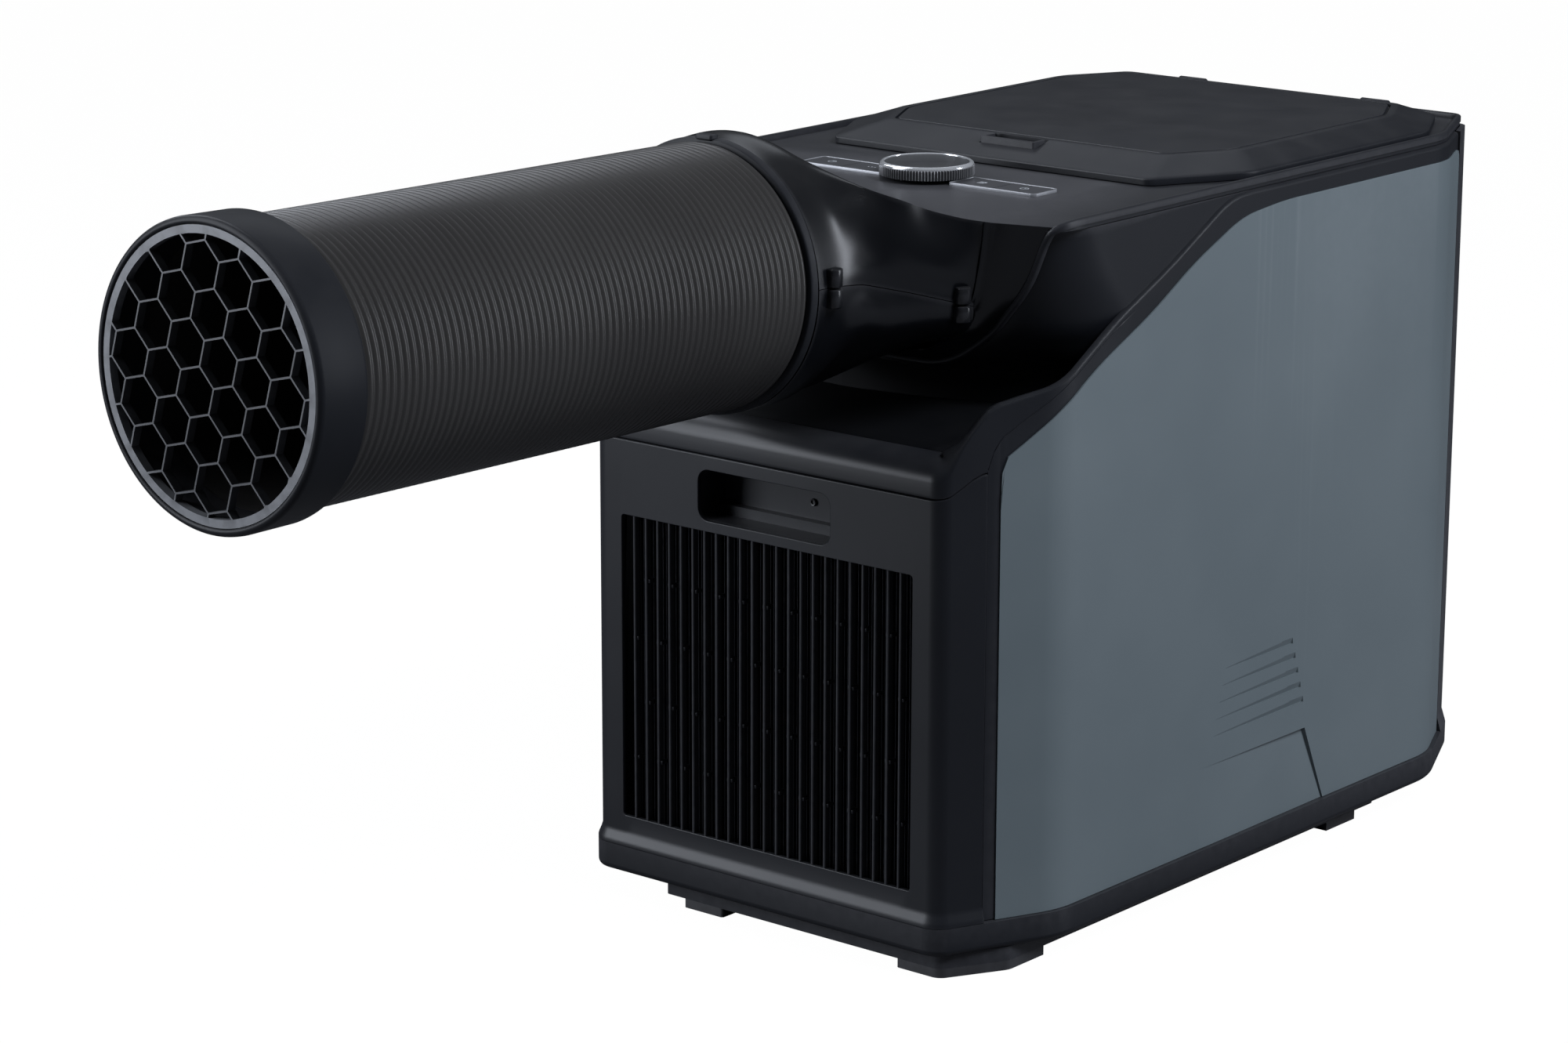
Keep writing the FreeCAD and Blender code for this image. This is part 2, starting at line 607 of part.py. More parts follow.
def build_duct():
    base, along = duct_frame()
    lean = NECK_RADIUS * math.sin(math.radians(DUCT_TILT_DEG)) + PART_GAP
    collar_at = base + along * lean
    collar = tube(NECK_RADIUS, HOSE_RADIUS - HOSE_WALL - 3, COLLAR_LENGTH, collar_at, along)
    collar = collar.fuse(tube(HOSE_RADIUS - HOSE_WALL - PART_GAP, HOSE_RADIUS - HOSE_WALL - 3,
                              HOSE_LAP, collar_at + along * COLLAR_LENGTH, along))
    catch = box(-6, 6, -3.5, 3.5, 0, 3)
    catch.rotate(Vector(0, 0, 0), X_AXIS, -DUCT_TILT_DEG)
    catch.translate(collar_at + along * (COLLAR_LENGTH / 2) + Vector(0, 0, NECK_RADIUS - 1.2))
    nodes["duct_collar"] = collar.fuse(catch).removeSplitter()

    hose_at = collar_at + along * (COLLAR_LENGTH + PART_GAP)
    nodes["duct_hose"] = tube(HOSE_RADIUS, HOSE_RADIUS - HOSE_WALL, HOSE_LENGTH, hose_at, along)

    ring_at = hose_at + along * (HOSE_LENGTH - HOSE_LAP)
    inner = HOSE_RADIUS + PART_GAP
    ring = cylinder(OUTLET_RADIUS, OUTLET_LENGTH, ring_at, along)
    front = ring_at + along * OUTLET_LENGTH
    edges = [e for e in ring.Edges if e.CenterOfMass.distanceToPoint(front) < 1]
    ring = ring.makeFillet(2.5, edges)
    ring = ring.cut(cylinder(inner, HOSE_LAP + PART_GAP, ring_at, along))
    mouth = OUTLET_RADIUS - OUTLET_WALL - 1.5
    ring = ring.cut(cylinder(mouth - 4, OUTLET_LENGTH, ring_at, along))
    seat = front - along * (HEX_DEPTH + 1.0)
    ring = ring.cut(cylinder(mouth, 20, seat, along))
    nodes["outlet_ring"] = ring

    disc = cylinder(mouth - 0.2, HEX_DEPTH, seat, along)
    flat = HEX_PITCH - HEX_WEB
    radius = flat / math.sqrt(3)
    rim = mouth - 4.5
    cells = []
    rows = 8
    for column in range(-rows, rows + 1):
        for row in range(-rows, rows + 1):
            u = column * HEX_PITCH * math.sqrt(3) / 2
            v = (row + (column % 2) / 2) * HEX_PITCH
            if math.hypot(u, v) > rim + radius + HEX_OFFSET * 1.5:
                continue
            corners = [Vector(u + radius * math.cos(math.radians(60 * k)), 0,
                              v + radius * math.sin(math.radians(60 * k))) for k in range(6)]
            wire = Part.makePolygon(corners + [corners[0]])
            cells.append(Part.Face(wire).extrude(Vector(0, 40, 0)))
    comb = Part.makeCompound(cells)
    comb.translate(Vector(0, -20, 0))
    comb.rotate(Vector(0, 0, 0), Y_AXIS, HEX_TURN_DEG)
    comb.translate(Vector(HEX_OFFSET, 0, HEX_OFFSET))
    comb.rotate(Vector(0, 0, 0), X_AXIS, -DUCT_TILT_DEG)
    comb.translate(seat)
    core = cylinder(rim, HEX_DEPTH + 4, seat - along * 2, along)
    nodes["outlet_honeycomb"] = disc.cut(comb.common(core))


# ---------------------------------------------------------------- controls
def key_spans():
    """The two keys of a keybar, from the knob outwards."""
    x0 = KEYBAR_INNER_X + 1.5
    x1 = KEYBAR_OUTER_X - 1.5
    middle = (x0 + x1) / 2
    return ((x0, middle - 0.4), (middle + 0.4, x1))


def build_controls():
    top = KNOB_BASE_Z + KNOB_HEIGHT
    centre = Vector(0, KNOB_Y, KNOB_BASE_Z)
    skirt = cylinder(KNOB_RADIUS, KNOB_HEIGHT - 1.8, centre, Z_AXIS)
    grooves = []
    count = 60
    for i in range(count):
        angle = 2 * math.pi * i / count
        groove = cylinder(0.7, KNOB_HEIGHT, Vector(KNOB_RADIUS * math.cos(angle) * 1.008,
                                                   KNOB_Y + KNOB_RADIUS * math.sin(angle) * 1.008,
                                                   KNOB_BASE_Z - 1), Z_AXIS)
        grooves.append(groove)
    skirt = skirt.cut(Part.makeCompound(grooves))
    skirt = skirt.cut(cylinder(SHAFT_RADIUS, 4.0, centre, Z_AXIS))
    nodes["knob_skirt"] = skirt
    ring = cylinder(KNOB_RADIUS - 0.4, 1.8, centre + Z_AXIS * (KNOB_HEIGHT - 1.8), Z_AXIS)
    edges = [e for e in ring.Edges if e.CenterOfMass.z > top - 0.01]
    ring = ring.makeChamfer(1.0, edges)
    nodes["knob_ring"] = ring.cut(cylinder(KNOB_RADIUS - 3.2, 5, centre + Z_AXIS * 5, Z_AXIS))
    nodes["knob_cap"] = cylinder(KNOB_RADIUS - 3.2, 1.4, centre + Z_AXIS * (KNOB_HEIGHT - 1.8),
                                 Z_AXIS)
    shaft_low = BOARD_Z + 4.0
    nodes["knob_shaft"] = cylinder(SHAFT_RADIUS, KNOB_BASE_Z + 4.0 - shaft_low,
                                   Vector(0, KNOB_Y, shaft_low), Z_AXIS)
    encoder = box(-7, 7, KNOB_Y - 7, KNOB_Y + 7, BOARD_Z + 1.6, BOARD_Z + 9)
    nodes["encoder"] = encoder.cut(cylinder(SHAFT_RADIUS + RUNNING_GAP, 20,
                                            Vector(0, KNOB_Y, shaft_low - 0.4), Z_AXIS))

    key_names = {-1: ("key_timer", "key_mode"), 1: ("key_fan", "key_power")}
    half = KEYBAR_WIDTH / 2
    for side, side_name in ((-1, "left"), (1, "right")):
        x0 = min(side * KEYBAR_INNER_X, side * KEYBAR_OUTER_X)
        x1 = max(side * KEYBAR_INNER_X, side * KEYBAR_OUTER_X)
        frame = box(x0, x1, KNOB_Y - half, KNOB_Y + half, DECK_TOP, DECK_TOP + 1.5)
        spans = [(min(side * a, side * b), max(side * a, side * b)) for a, b in key_spans()]
        for a, b in spans:
            frame = frame.cut(box(a - PART_GAP, b + PART_GAP, KNOB_Y - half + 1.5 - PART_GAP,
                                  KNOB_Y + half - 1.5 + PART_GAP, 0, 900))
        nodes["keybar_frame_" + side_name] = frame
        for name, (a, b) in zip(key_names[side], spans):
            cap = box(a, b, KNOB_Y - half + 1.5, KNOB_Y + half - 1.5, DECK_Z + 0.5, DECK_TOP + 1.6)
            middle = (a + b) / 2
            stem = box(middle - 2, middle + 2, KNOB_Y - 2, KNOB_Y + 2, BOARD_Z + 5.2, DECK_Z + 1)
            nodes[name] = cap.fuse(stem).removeSplitter()

    board = box(-92, 92, KNOB_Y - 34, KNOB_Y + 34, BOARD_Z, BOARD_Z + 1.6)
    parts = []
    for side in (-1, 1):
        for a, b in key_spans():
            x = side * (a + b) / 2
            parts.append(box(x - 3, x + 3, KNOB_Y - 3, KNOB_Y + 3, BOARD_Z + 1.6, BOARD_Z + 3.8))
    parts.append(box(-85, -60, KNOB_Y - 32, KNOB_Y - 20, BOARD_Z + 1.6, BOARD_Z + 6))
    parts.append(box(40, 75, KNOB_Y - 32, KNOB_Y - 18, BOARD_Z + 1.6, BOARD_Z + 4))
    nodes["control_board"] = board.multiFuse(parts).removeSplitter()


# ---------------------------------------------------------------- lid and bin
def hinge_line():
    return LID_FRONT_Y + LID_LENGTH + 3.0, DECK_TOP + 5.0


def deck_lug_spans():
    spans = []
    for side in (-1, 1):
        for start in (HINGE_X - KNUCKLE_LENGTH / 2 - PART_GAP - 8,
                      HINGE_X + KNUCKLE_LENGTH / 2 + PART_GAP):
            a = side * start
            b = side * (start + 8)
            spans.append((min(a, b), max(a, b)))
    return spans


def bin_block(inset, z0, z1):
    x = LID_FACE_HALF_WIDTH - 8 - inset
    y0 = LID_FRONT_Y + 26 + inset
    y1 = LID_FRONT_Y + LID_LENGTH - 26 - inset
    points = [Vector(-x, y0, z0), Vector(x, y0, z0), Vector(x, y1, z0), Vector(-x, y1, z0)]
    return Part.Face(rounded_wire(points, [14.0 - inset] * 4)).extrude(Vector(0, 0, z1 - z0))


def build_lid():
    z0 = DECK_TOP + PART_GAP
    z1 = z0 + LID_FLANGE
    z2 = z1 + LID_RISE
    flange = Part.Face(lid_wire(0, 0, z0)).extrude(Vector(0, 0, LID_FLANGE))
    crown = Part.makeLoft([lid_wire(0, 0, z1), lid_wire(LID_TOP_INSET, 12.0, z2)], True, True)
    outer = flange.fuse(crown)
    low = Part.Face(lid_wire(LID_WALL, 0, z0)).extrude(Vector(0, 0, LID_FLANGE - 1))
    high = Part.makeLoft([lid_wire(LID_WALL, 0, z1 - 1),
                          lid_wire(LID_TOP_INSET, 12.0, z2 - LID_WALL - 1.5)], True, True)
    lid = outer.cut(low.fuse(high))
    inset_floor = z2 - 1.4
    recess = Part.Face(lid_wire(LID_TOP_INSET + 5.0, 12.0, inset_floor)).extrude(Vector(0, 0, 5))
    lid = lid.cut(recess)
    nodes["lid_inset"] = Part.Face(lid_wire(LID_TOP_INSET + 5.4, 12.0, inset_floor)).extrude(
        Vector(0, 0, 1.4))
    # the latch slides back into a pocket in the lid's front slope
    y0 = LID_FRONT_Y + 19.0
    y1 = y0 + LATCH_DEPTH
    latch = box(-LATCH_HALF_WIDTH, LATCH_HALF_WIDTH, y0, y1, z2 - 5.2, z2 + 0.3)
    latch = latch.makeFillet(1.2, [e for e in latch.Edges
                                   if abs(e.tangentAt(e.FirstParameter).z) > 0.9])
    latch = latch.cut(box(-LATCH_HALF_WIDTH + 2.5, LATCH_HALF_WIDTH - 2.5, y0 + 3, y1 + 1,
                          z2 - 3.0, z2 + 1))
    pocket = box(-LATCH_HALF_WIDTH - PART_GAP, LATCH_HALF_WIDTH + PART_GAP, y0 - 1,
                 y1 + LATCH_TRAVEL + PART_GAP, z2 - 5.5, z2 + 1)
    floor = box(-LATCH_HALF_WIDTH - 3, LATCH_HALF_WIDTH + 3, y0 - 9, y1 + LATCH_TRAVEL + 3,
                z2 - 7.5, z2 - 1.4)
    floor = floor.common(outer)
    lid = lid.fuse(floor).cut(pocket)
    inset_cut = pocket.copy()
    nodes["lid_inset"] = nodes["lid_inset"].cut(inset_cut)
    nodes["lid_latch"] = latch
    hinge_y, hinge_z = hinge_line()
    knuckles = []
    for side in (-1, 1):
        x0 = side * HINGE_X - KNUCKLE_LENGTH / 2
        knuckle = cylinder(HINGE_RADIUS + 2, KNUCKLE_LENGTH, Vector(x0, hinge_y, hinge_z), X_AXIS)
        web = box(x0, x0 + KNUCKLE_LENGTH, hinge_y - 6, hinge_y, hinge_z - 3.0, hinge_z + 1)
        knuckles.append(knuckle.fuse(web))
    lid = lid.multiFuse(knuckles)
    bore = cylinder(HINGE_RADIUS + RUNNING_GAP, 400, Vector(-200, hinge_y, hinge_z), X_AXIS)
    notches = [cylinder(HINGE_RADIUS + 2.6, x1 - x0 + 2 * PART_GAP,
                        Vector(x0 - PART_GAP, hinge_y, hinge_z), X_AXIS)
               for x0, x1 in deck_lug_spans()]
    notches += [box(x0 - PART_GAP, x1 + PART_GAP, hinge_y - 3.6, hinge_y, 0, hinge_z)
                for x0, x1 in deck_lug_spans()]
    lid = lid.cut(Part.makeCompound(notches))
    nodes["lid"] = lid.cut(bore).removeSplitter()
    pins = []
    for side in (-1, 1):
        x0 = side * HINGE_X - KNUCKLE_LENGTH / 2 - PART_GAP - 8
        pins.append(cylinder(HINGE_RADIUS, KNUCKLE_LENGTH + 2 * PART_GAP + 16,
                             Vector(x0, hinge_y, hinge_z), X_AXIS))
    nodes["lid_hinge_pins"] = Part.makeCompound(pins)

    bin_low = DECK_Z - BIN_DEPTH
    pan = bin_block(PART_GAP, bin_low, DECK_TOP - 0.5)
    pan = pan.cut(bin_block(PART_GAP + 2.0, bin_low + 2.0, DECK_TOP + 5))
    nodes["storage_bin"] = pan


# ---------------------------------------------------------------- inside
def coil(half_width, y0, z0, z1, tube_rows):
    """Finned coil: a fin block on end plates, with return bends standing out of the ends."""
    block = box(-half_width + 3, half_width - 3, y0 + 2, y0 + COIL_DEPTH - 2, z0 + 2, z1 - 2)
    plates = [box(x, x + 3, y0, y0 + COIL_DEPTH, z0, z1) for x in (-half_width, half_width - 3)]
    bends = []
    step = (z1 - z0) / tube_rows
    middle = y0 + COIL_DEPTH / 2
    for i in range(0, tube_rows - 1, 2):
        z = z0 + step * (i + 1)
        for side in (-1, 1):
            centre = Vector(side * half_width, middle, z)
            bend = Part.makeTorus(step / 2, 3.0, centre, Y_AXIS)
            keep = box(half_width - 1, half_width + 40, y0 - 5, y0 + 60, z0, z1)
            if side < 0:
                keep = box(-half_width - 40, -half_width + 1, y0 - 5, y0 + 60, z0, z1)
            bends.append(bend.common(keep))
    return block.multiFuse(plates + bends)


def build_inside():
    floor_z = TRAY_Z + PANEL_WALL
    half = GRILLE_HALF_WIDTH
    coil_y = PANEL_WALL + 8.0
    coil_top = GRILLE_BOTTOM + GRILLE_HEIGHT + 2
    nodes["condenser_coil"] = coil(half - 2, coil_y, floor_z, coil_top, 10)

    # condenser fan: shroud plate, motor on its spider, and the axial fan between them
    shroud_y = coil_y + COIL_DEPTH
    fan_z = GRILLE_BOTTOM + GRILLE_HEIGHT / 2
    centre = Vector(0, shroud_y, fan_z)
    shroud = box(-half + 2, half - 2, shroud_y, shroud_y + 3, floor_z, coil_top)
    shroud = shroud.fuse(cylinder(FAN_RADIUS + 6, 30, centre, Y_AXIS))
    shroud = shroud.cut(cylinder(FAN_RADIUS + 3, 60, centre - Y_AXIS * 10, Y_AXIS))
    arm_y = shroud_y + 30
    arms = []
    for i in range(3):
        arm = box(-4, 4, arm_y - 3, arm_y, 20, FAN_RADIUS + 5)
        arm.rotate(Vector(0, 0, 0), Y_AXIS, 120 * i)
        arm.translate(Vector(0, 0, fan_z))
        arms.append(arm)
    hub = tube(34, 6, 3, Vector(0, arm_y - 3, fan_z), Y_AXIS)
    nodes["fan_shroud"] = shroud.multiFuse(arms + [hub]).removeSplitter()
    motor = cylinder(30, 36, Vector(0, arm_y, fan_z), Y_AXIS)
    motor = motor.makeFillet(3.0, [e for e in motor.Edges if e.CenterOfMass.y > arm_y + 35])
    bore = cylinder(AXLE_RADIUS + RUNNING_GAP, 16, Vector(0, arm_y - 1, fan_z), Y_AXIS)
    nodes["fan_motor"] = motor.cut(bore)
    fan_y = arm_y - 26
    nodes["fan_axle"] = cylinder(AXLE_RADIUS, 40, Vector(0, fan_y, fan_z), Y_AXIS)
    fan = cylinder(24, 20, Vector(0, fan_y, fan_z), Y_AXIS)
    blades = []
    for i in range(FAN_BLADES):
        blade = box(-17, 17, -1, 1, 20, FAN_RADIUS)
        blade.rotate(Vector(0, 0, 0), Z_AXIS, 28)
        blade.translate(Vector(0, fan_y + 10, 0))
        blade.rotate(Vector(0, 0, 0), Y_AXIS, 360 * i / FAN_BLADES)
        blade.translate(Vector(0, 0, fan_z))
        blades.append(blade)
    fan = fan.multiFuse(blades)
    nodes["condenser_fan"] = fan.cut(cylinder(AXLE_RADIUS, 40, Vector(0, fan_y - 5, fan_z),
                                              Y_AXIS))

    # compressor on rubber grommets, with its suction accumulator
    comp = Vector(-45, 250, floor_z + 14)
    body = cylinder(COMPRESSOR_RADIUS, COMPRESSOR_HEIGHT, comp, Z_AXIS)
    body = body.makeFillet(12.0, [e for e in body.Edges if e.CenterOfMass.z > comp.z + 1
                                  and e.Curve.TypeId == "Part::GeomCircle"])
    plate = box(comp.x - 62, comp.x + 62, comp.y - 40, comp.y + 40, comp.z - 3, comp.z)
    holes = []
    grommets = []
    for dx in (-52, 52):
        for dy in (-30, 30):
            at = Vector(comp.x + dx, comp.y + dy, floor_z)
            holes.append(cylinder(5.0, 30, at, Z_AXIS))
            grommet = cylinder(9.0, 10.9, at, Z_AXIS)
            grommets.append(grommet.fuse(cylinder(5.0, 16.5, at, Z_AXIS)))
    plate = plate.cut(Part.makeCompound(holes))
    nodes["compressor"] = body.fuse(plate).removeSplitter()
    nodes["compressor_grommets"] = Part.makeCompound(grommets)
    bottle_x = comp.x + COMPRESSOR_RADIUS + 20
    bottle = cylinder(18, 95, Vector(bottle_x, comp.y, comp.z + 25), Z_AXIS)
    bottle = bottle.makeFillet(8.0, [e for e in bottle.Edges
                                     if e.Curve.TypeId == "Part::GeomCircle"])
    nodes["accumulator"] = bottle

    # cold side, above the partition
    wall_inset = TRIM_INSET + TRIM_WALL + PART_GAP + PANEL_WALL + PART_GAP
    plate = body_prism(wall_inset, PARTITION_Z, PARTITION_Z + 3)
    plate = plate.common(box(-400, 400, HANDLE_DEPTH + 12, BODY_DEPTH - 30, 0, 900))
    plate = plate.cut(box(95, 115, 200, 225, 0, 900))
    nodes["partition"] = plate
    evap_y = 330.0
    deck_under = DECK_Z - BIN_DEPTH - 2
    nodes["evaporator_coil"] = coil(118, evap_y, PARTITION_Z + 3, deck_under, 8)

    axis = Vector(-BLOWER_HALF_WIDTH - 8, BLOWER_Y, BLOWER_Z)
    span = 2 * BLOWER_HALF_WIDTH + 16
    scroll_radius = BLOWER_RADIUS + 16
    outlet_low = BLOWER_Z + 28
    outlet_front = HEAD_FACE_Y + DECK_WALL + PART_GAP + PANEL_WALL + PART_GAP
    outlet_high = min(BLOWER_Z + scroll_radius, BOARD_Z - 4)
    outer = cylinder(scroll_radius, span, axis, X_AXIS)
    duct = box(axis.x, axis.x + span, outlet_front, BLOWER_Y, outlet_low, outlet_high)
    inner = cylinder(scroll_radius - 2, span - 4, axis + X_AXIS * 2, X_AXIS)
    inner_duct = box(axis.x + 2, axis.x + span - 2, outlet_front - 5, BLOWER_Y, outlet_low + 2,
                     outlet_high - 2)
    scroll = outer.fuse(duct).cut(inner.fuse(inner_duct))
    eye = cylinder(BLOWER_RADIUS - 8, span + 20, axis - X_AXIS * 10, X_AXIS)
    foot = box(axis.x + 10, axis.x + span - 10, BLOWER_Y - 30, BLOWER_Y + 30,
               PARTITION_Z + 3, BLOWER_Z - scroll_radius + 6)
    foot = foot.cut(outer)
    nodes["blower_scroll"] = scroll.fuse(foot).cut(eye).removeSplitter()
    wheel_x = -BLOWER_HALF_WIDTH
    start = Vector(wheel_x, BLOWER_Y, BLOWER_Z)
    disc = cylinder(BLOWER_RADIUS, 2, start, X_AXIS)
    disc = disc.fuse(cylinder(10, 30, start, X_AXIS))
    rim = tube(BLOWER_RADIUS, BLOWER_RADIUS - 9, 2, start + X_AXIS * (2 * BLOWER_HALF_WIDTH - 2),
               X_AXIS)
    blades = []
    for i in range(BLOWER_BLADES):
        blade = box(0, 2 * BLOWER_HALF_WIDTH, -0.6, 0.6, BLOWER_RADIUS - 9, BLOWER_RADIUS - 0.4)
        blade.rotate(Vector(0, 0, BLOWER_RADIUS - 5), X_AXIS, 25)
        blade.rotate(Vector(0, 0, 0), X_AXIS, 360 * i / BLOWER_BLADES)
        blade.translate(start)
        blades.append(blade)
    wheel = disc.multiFuse([rim] + blades)
    nodes["blower_wheel"] = wheel.cut(cylinder(AXLE_RADIUS, 60, start - X_AXIS * 5, X_AXIS))
    motor_end = axis.x - 34
    motor = cylinder(30, 30, Vector(motor_end, BLOWER_Y, BLOWER_Z), X_AXIS)
    stand = box(motor_end + 4, motor_end + 26, BLOWER_Y - 22, BLOWER_Y + 22, PARTITION_Z + 3,
                BLOWER_Z - 20)
    motor = motor.fuse(stand).removeSplitter()
    axle_at = Vector(motor_end + 12, BLOWER_Y, BLOWER_Z)
    nodes["blower_motor"] = motor.cut(cylinder(AXLE_RADIUS + RUNNING_GAP, 40,
                                               axle_at - X_AXIS, X_AXIS))
    nodes["blower_axle"] = cylinder(AXLE_RADIUS, wheel_x + 26 - axle_at.x, axle_at, X_AXIS)

    # refrigerant lines: suction up through the partition, discharge forward to the condenser
    lines = [pipe([Vector(105, 212, 330), Vector(105, 212, 200), Vector(bottle_x, 212, 200),
                   Vector(bottle_x, comp.y, 200), Vector(bottle_x, comp.y, comp.z + 120)]),
             pipe([Vector(comp.x, comp.y, comp.z + COMPRESSOR_HEIGHT), Vector(comp.x, comp.y, 222),
                   Vector(comp.x, 160, 222), Vector(98, 160, 222), Vector(98, 160, 120),
                   Vector(98, shroud_y + 5, 120)]),
             pipe([Vector(105, 212, 330), Vector(105, 270, 330), Vector(105, evap_y + 2, 330)])]
    nodes["refrigerant_lines"] = lines[0].fuse(lines[2]).removeSplitter()
    nodes["discharge_line"] = lines[1]

    # screws: grille frames and tray, one group
    screws = []
    for x in (-60, 60):
        for y in (150, BODY_DEPTH - 60):
            head = cylinder(3.5, 2.0, Vector(x, y, floor_z), Z_AXIS)
            screws.append(head)
    nodes["tray_screws"] = Part.makeCompound(screws)


def pipe(points):
    """Copper line of 8 mm: straight runs with round bends."""
    bend = 14.0
    edges = []
    start = points[0]
    for i in range(1, len(points) - 1):
        here = points[i]
        back = (points[i - 1] - here).normalize()
        ahead = (points[i + 1] - here).normalize()
        angle = back.getAngle(ahead)
        if abs(angle - math.pi) < 1e-6:
            continue
        reach = min(bend, (points[i - 1] - here).Length * 0.49,
                    (points[i + 1] - here).Length * 0.49)
        radius = reach * math.tan(angle / 2)
        enter = here + back * reach
        leave = here + ahead * reach
        mid = here + (back + ahead).normalize() * (radius / math.sin(angle / 2) - radius)
        edges.append(Part.LineSegment(start, enter).toShape())
        edges.append(Part.Arc(enter, mid, leave).toShape())
        start = leave
    edges.append(Part.LineSegment(start, points[-1]).toShape())
    path = Part.Wire(edges)
    along = (points[1] - points[0]).normalize()
    ring = Part.Wire(Part.makeCircle(4.0, points[0], along))
    return path.makePipeShell([ring], True, False, 2)


# ---------------------------------------------------------------- build and export
def main():
    build_base()
    build_ends()
    build_sides()
    build_upper()
    build_duct()
    build_controls()
    build_lid()
    build_inside()
    whole = Part.makeCompound(list(nodes.values())).BoundBox
    shift = Vector(0, -(whole.YMin + whole.YMax) / 2, 0)
    print("shift along Y", round(shift.y, 4))
    os.makedirs("parts", exist_ok=True)
    for name, shape in nodes.items():
        moved = shape.copy()
        moved.translate(shift)
        print(name, len(moved.Solids), moved.isValid(), round(moved.Volume / 1000, 2))
        moved.exportStep("parts/" + name + ".step")


main()
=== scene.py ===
"""Portable air conditioner with a ribbed cold-air duct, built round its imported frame.

Lengths inside the classes are millimetres, measured from the flat front face (y = 0) and the
ground (z = 0); Place turns them into the metres of the shared frame.
"""

import json
import logging
import math
from dataclasses import dataclass, field
from enum import Enum
from typing import Callable, Optional, Sequence

import bmesh
import bpy
from mathutils import Matrix, Vector

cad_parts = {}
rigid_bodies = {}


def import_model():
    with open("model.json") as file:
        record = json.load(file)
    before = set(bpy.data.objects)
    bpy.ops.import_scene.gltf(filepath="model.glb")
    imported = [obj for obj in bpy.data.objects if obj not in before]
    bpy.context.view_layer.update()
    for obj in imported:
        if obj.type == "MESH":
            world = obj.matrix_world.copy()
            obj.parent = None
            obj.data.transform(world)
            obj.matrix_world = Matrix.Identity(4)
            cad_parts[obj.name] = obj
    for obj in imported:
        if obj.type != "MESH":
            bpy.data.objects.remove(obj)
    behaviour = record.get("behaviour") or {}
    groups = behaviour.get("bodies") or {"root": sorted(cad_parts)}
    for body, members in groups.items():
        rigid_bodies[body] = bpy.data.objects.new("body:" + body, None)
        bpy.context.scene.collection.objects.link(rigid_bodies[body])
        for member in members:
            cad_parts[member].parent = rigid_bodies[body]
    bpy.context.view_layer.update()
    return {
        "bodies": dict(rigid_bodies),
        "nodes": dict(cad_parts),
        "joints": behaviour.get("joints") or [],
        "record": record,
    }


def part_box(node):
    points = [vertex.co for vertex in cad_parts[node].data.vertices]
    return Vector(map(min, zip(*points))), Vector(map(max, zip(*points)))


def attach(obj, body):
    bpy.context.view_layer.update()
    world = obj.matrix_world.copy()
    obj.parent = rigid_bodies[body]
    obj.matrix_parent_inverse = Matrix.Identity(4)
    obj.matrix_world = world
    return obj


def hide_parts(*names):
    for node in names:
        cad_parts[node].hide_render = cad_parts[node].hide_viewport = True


log = logging.getLogger("air_conditioner")

Point2 = tuple[float, float]
Point3 = tuple[float, float, float]
Row = tuple[float, float, float, float]     # plan point and its outward normal
Colour = tuple[float, float, float]
Tree = bpy.types.ShaderNodeTree
Socket = bpy.types.NodeSocket
Piece = bpy.types.Object

MM = 0.001                                  # metres in a millimetre
MERGE = 2e-6                                # points nearer than this are one, in metres
KNOB_Y = 148.0                              # depth of the knob's axis
DUCT_Z = 396.5                              # height of the duct's axis
MOUTH_RADIUS = 77.4                         # outer radius of the neck's round mouth
DUST_COLOUR: Colour = (0.16, 0.155, 0.15)
DUST_DULLING = 0.3                          # roughness that full dust adds
BUMP_STRENGTH = 0.6
COAT_ROUGHNESS = 0.12


class Body(str, Enum):
    """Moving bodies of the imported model."""
    CABINET = "cabinet"
    DUCT = "duct"
    KNOB = "knob"
    TIMER_KEY = "timer_key"
    MODE_KEY = "mode_key"
    FAN_KEY = "fan_key"
    POWER_KEY = "power_key"
    LID = "lid"


class Side(Enum):
    """Left and right of the cabinet, seen from the duct end."""
    LEFT = -1
    RIGHT = 1


# ---------------------------------------------------------------- small numeric tools
def blend(a: float, b: float, t: float) -> float:
    """Linear mix of two numbers."""
    return a + (b - a) * t


def ease(t: float) -> float:
    """Smooth step between 0 and 1."""
    t = min(max(t, 0.0), 1.0)
    return t * t * (3 - 2 * t)


def along_table(table: Sequence[Point2], x: float) -> float:
    """Reads a table of (x, value) pairs with straight lines between them.

    Args:
        table: Pairs in rising x.
        x: Where to read it.

    Returns:
        The value at x, held constant past both ends.
    """
    if x <= table[0][0]:
        return table[0][1]
    for (x0, v0), (x1, v1) in zip(table, table[1:]):
        if x <= x1:
            return blend(v0, v1, (x - x0) / (x1 - x0))
    return table[-1][1]


def smooth_table(table: Sequence[Point2], x: float, width: float) -> float:
    """Reads a table with its corners softened over a width.

    Args:
        table: Pairs in rising x.
        x: Where to read it.
        width: Span over which the values are averaged.

    Returns:
        The softened value.
    """
    steps = 9
    total = sum(along_table(table, x + width * (i / (steps - 1) - 0.5)) for i in range(steps))
    return total / steps


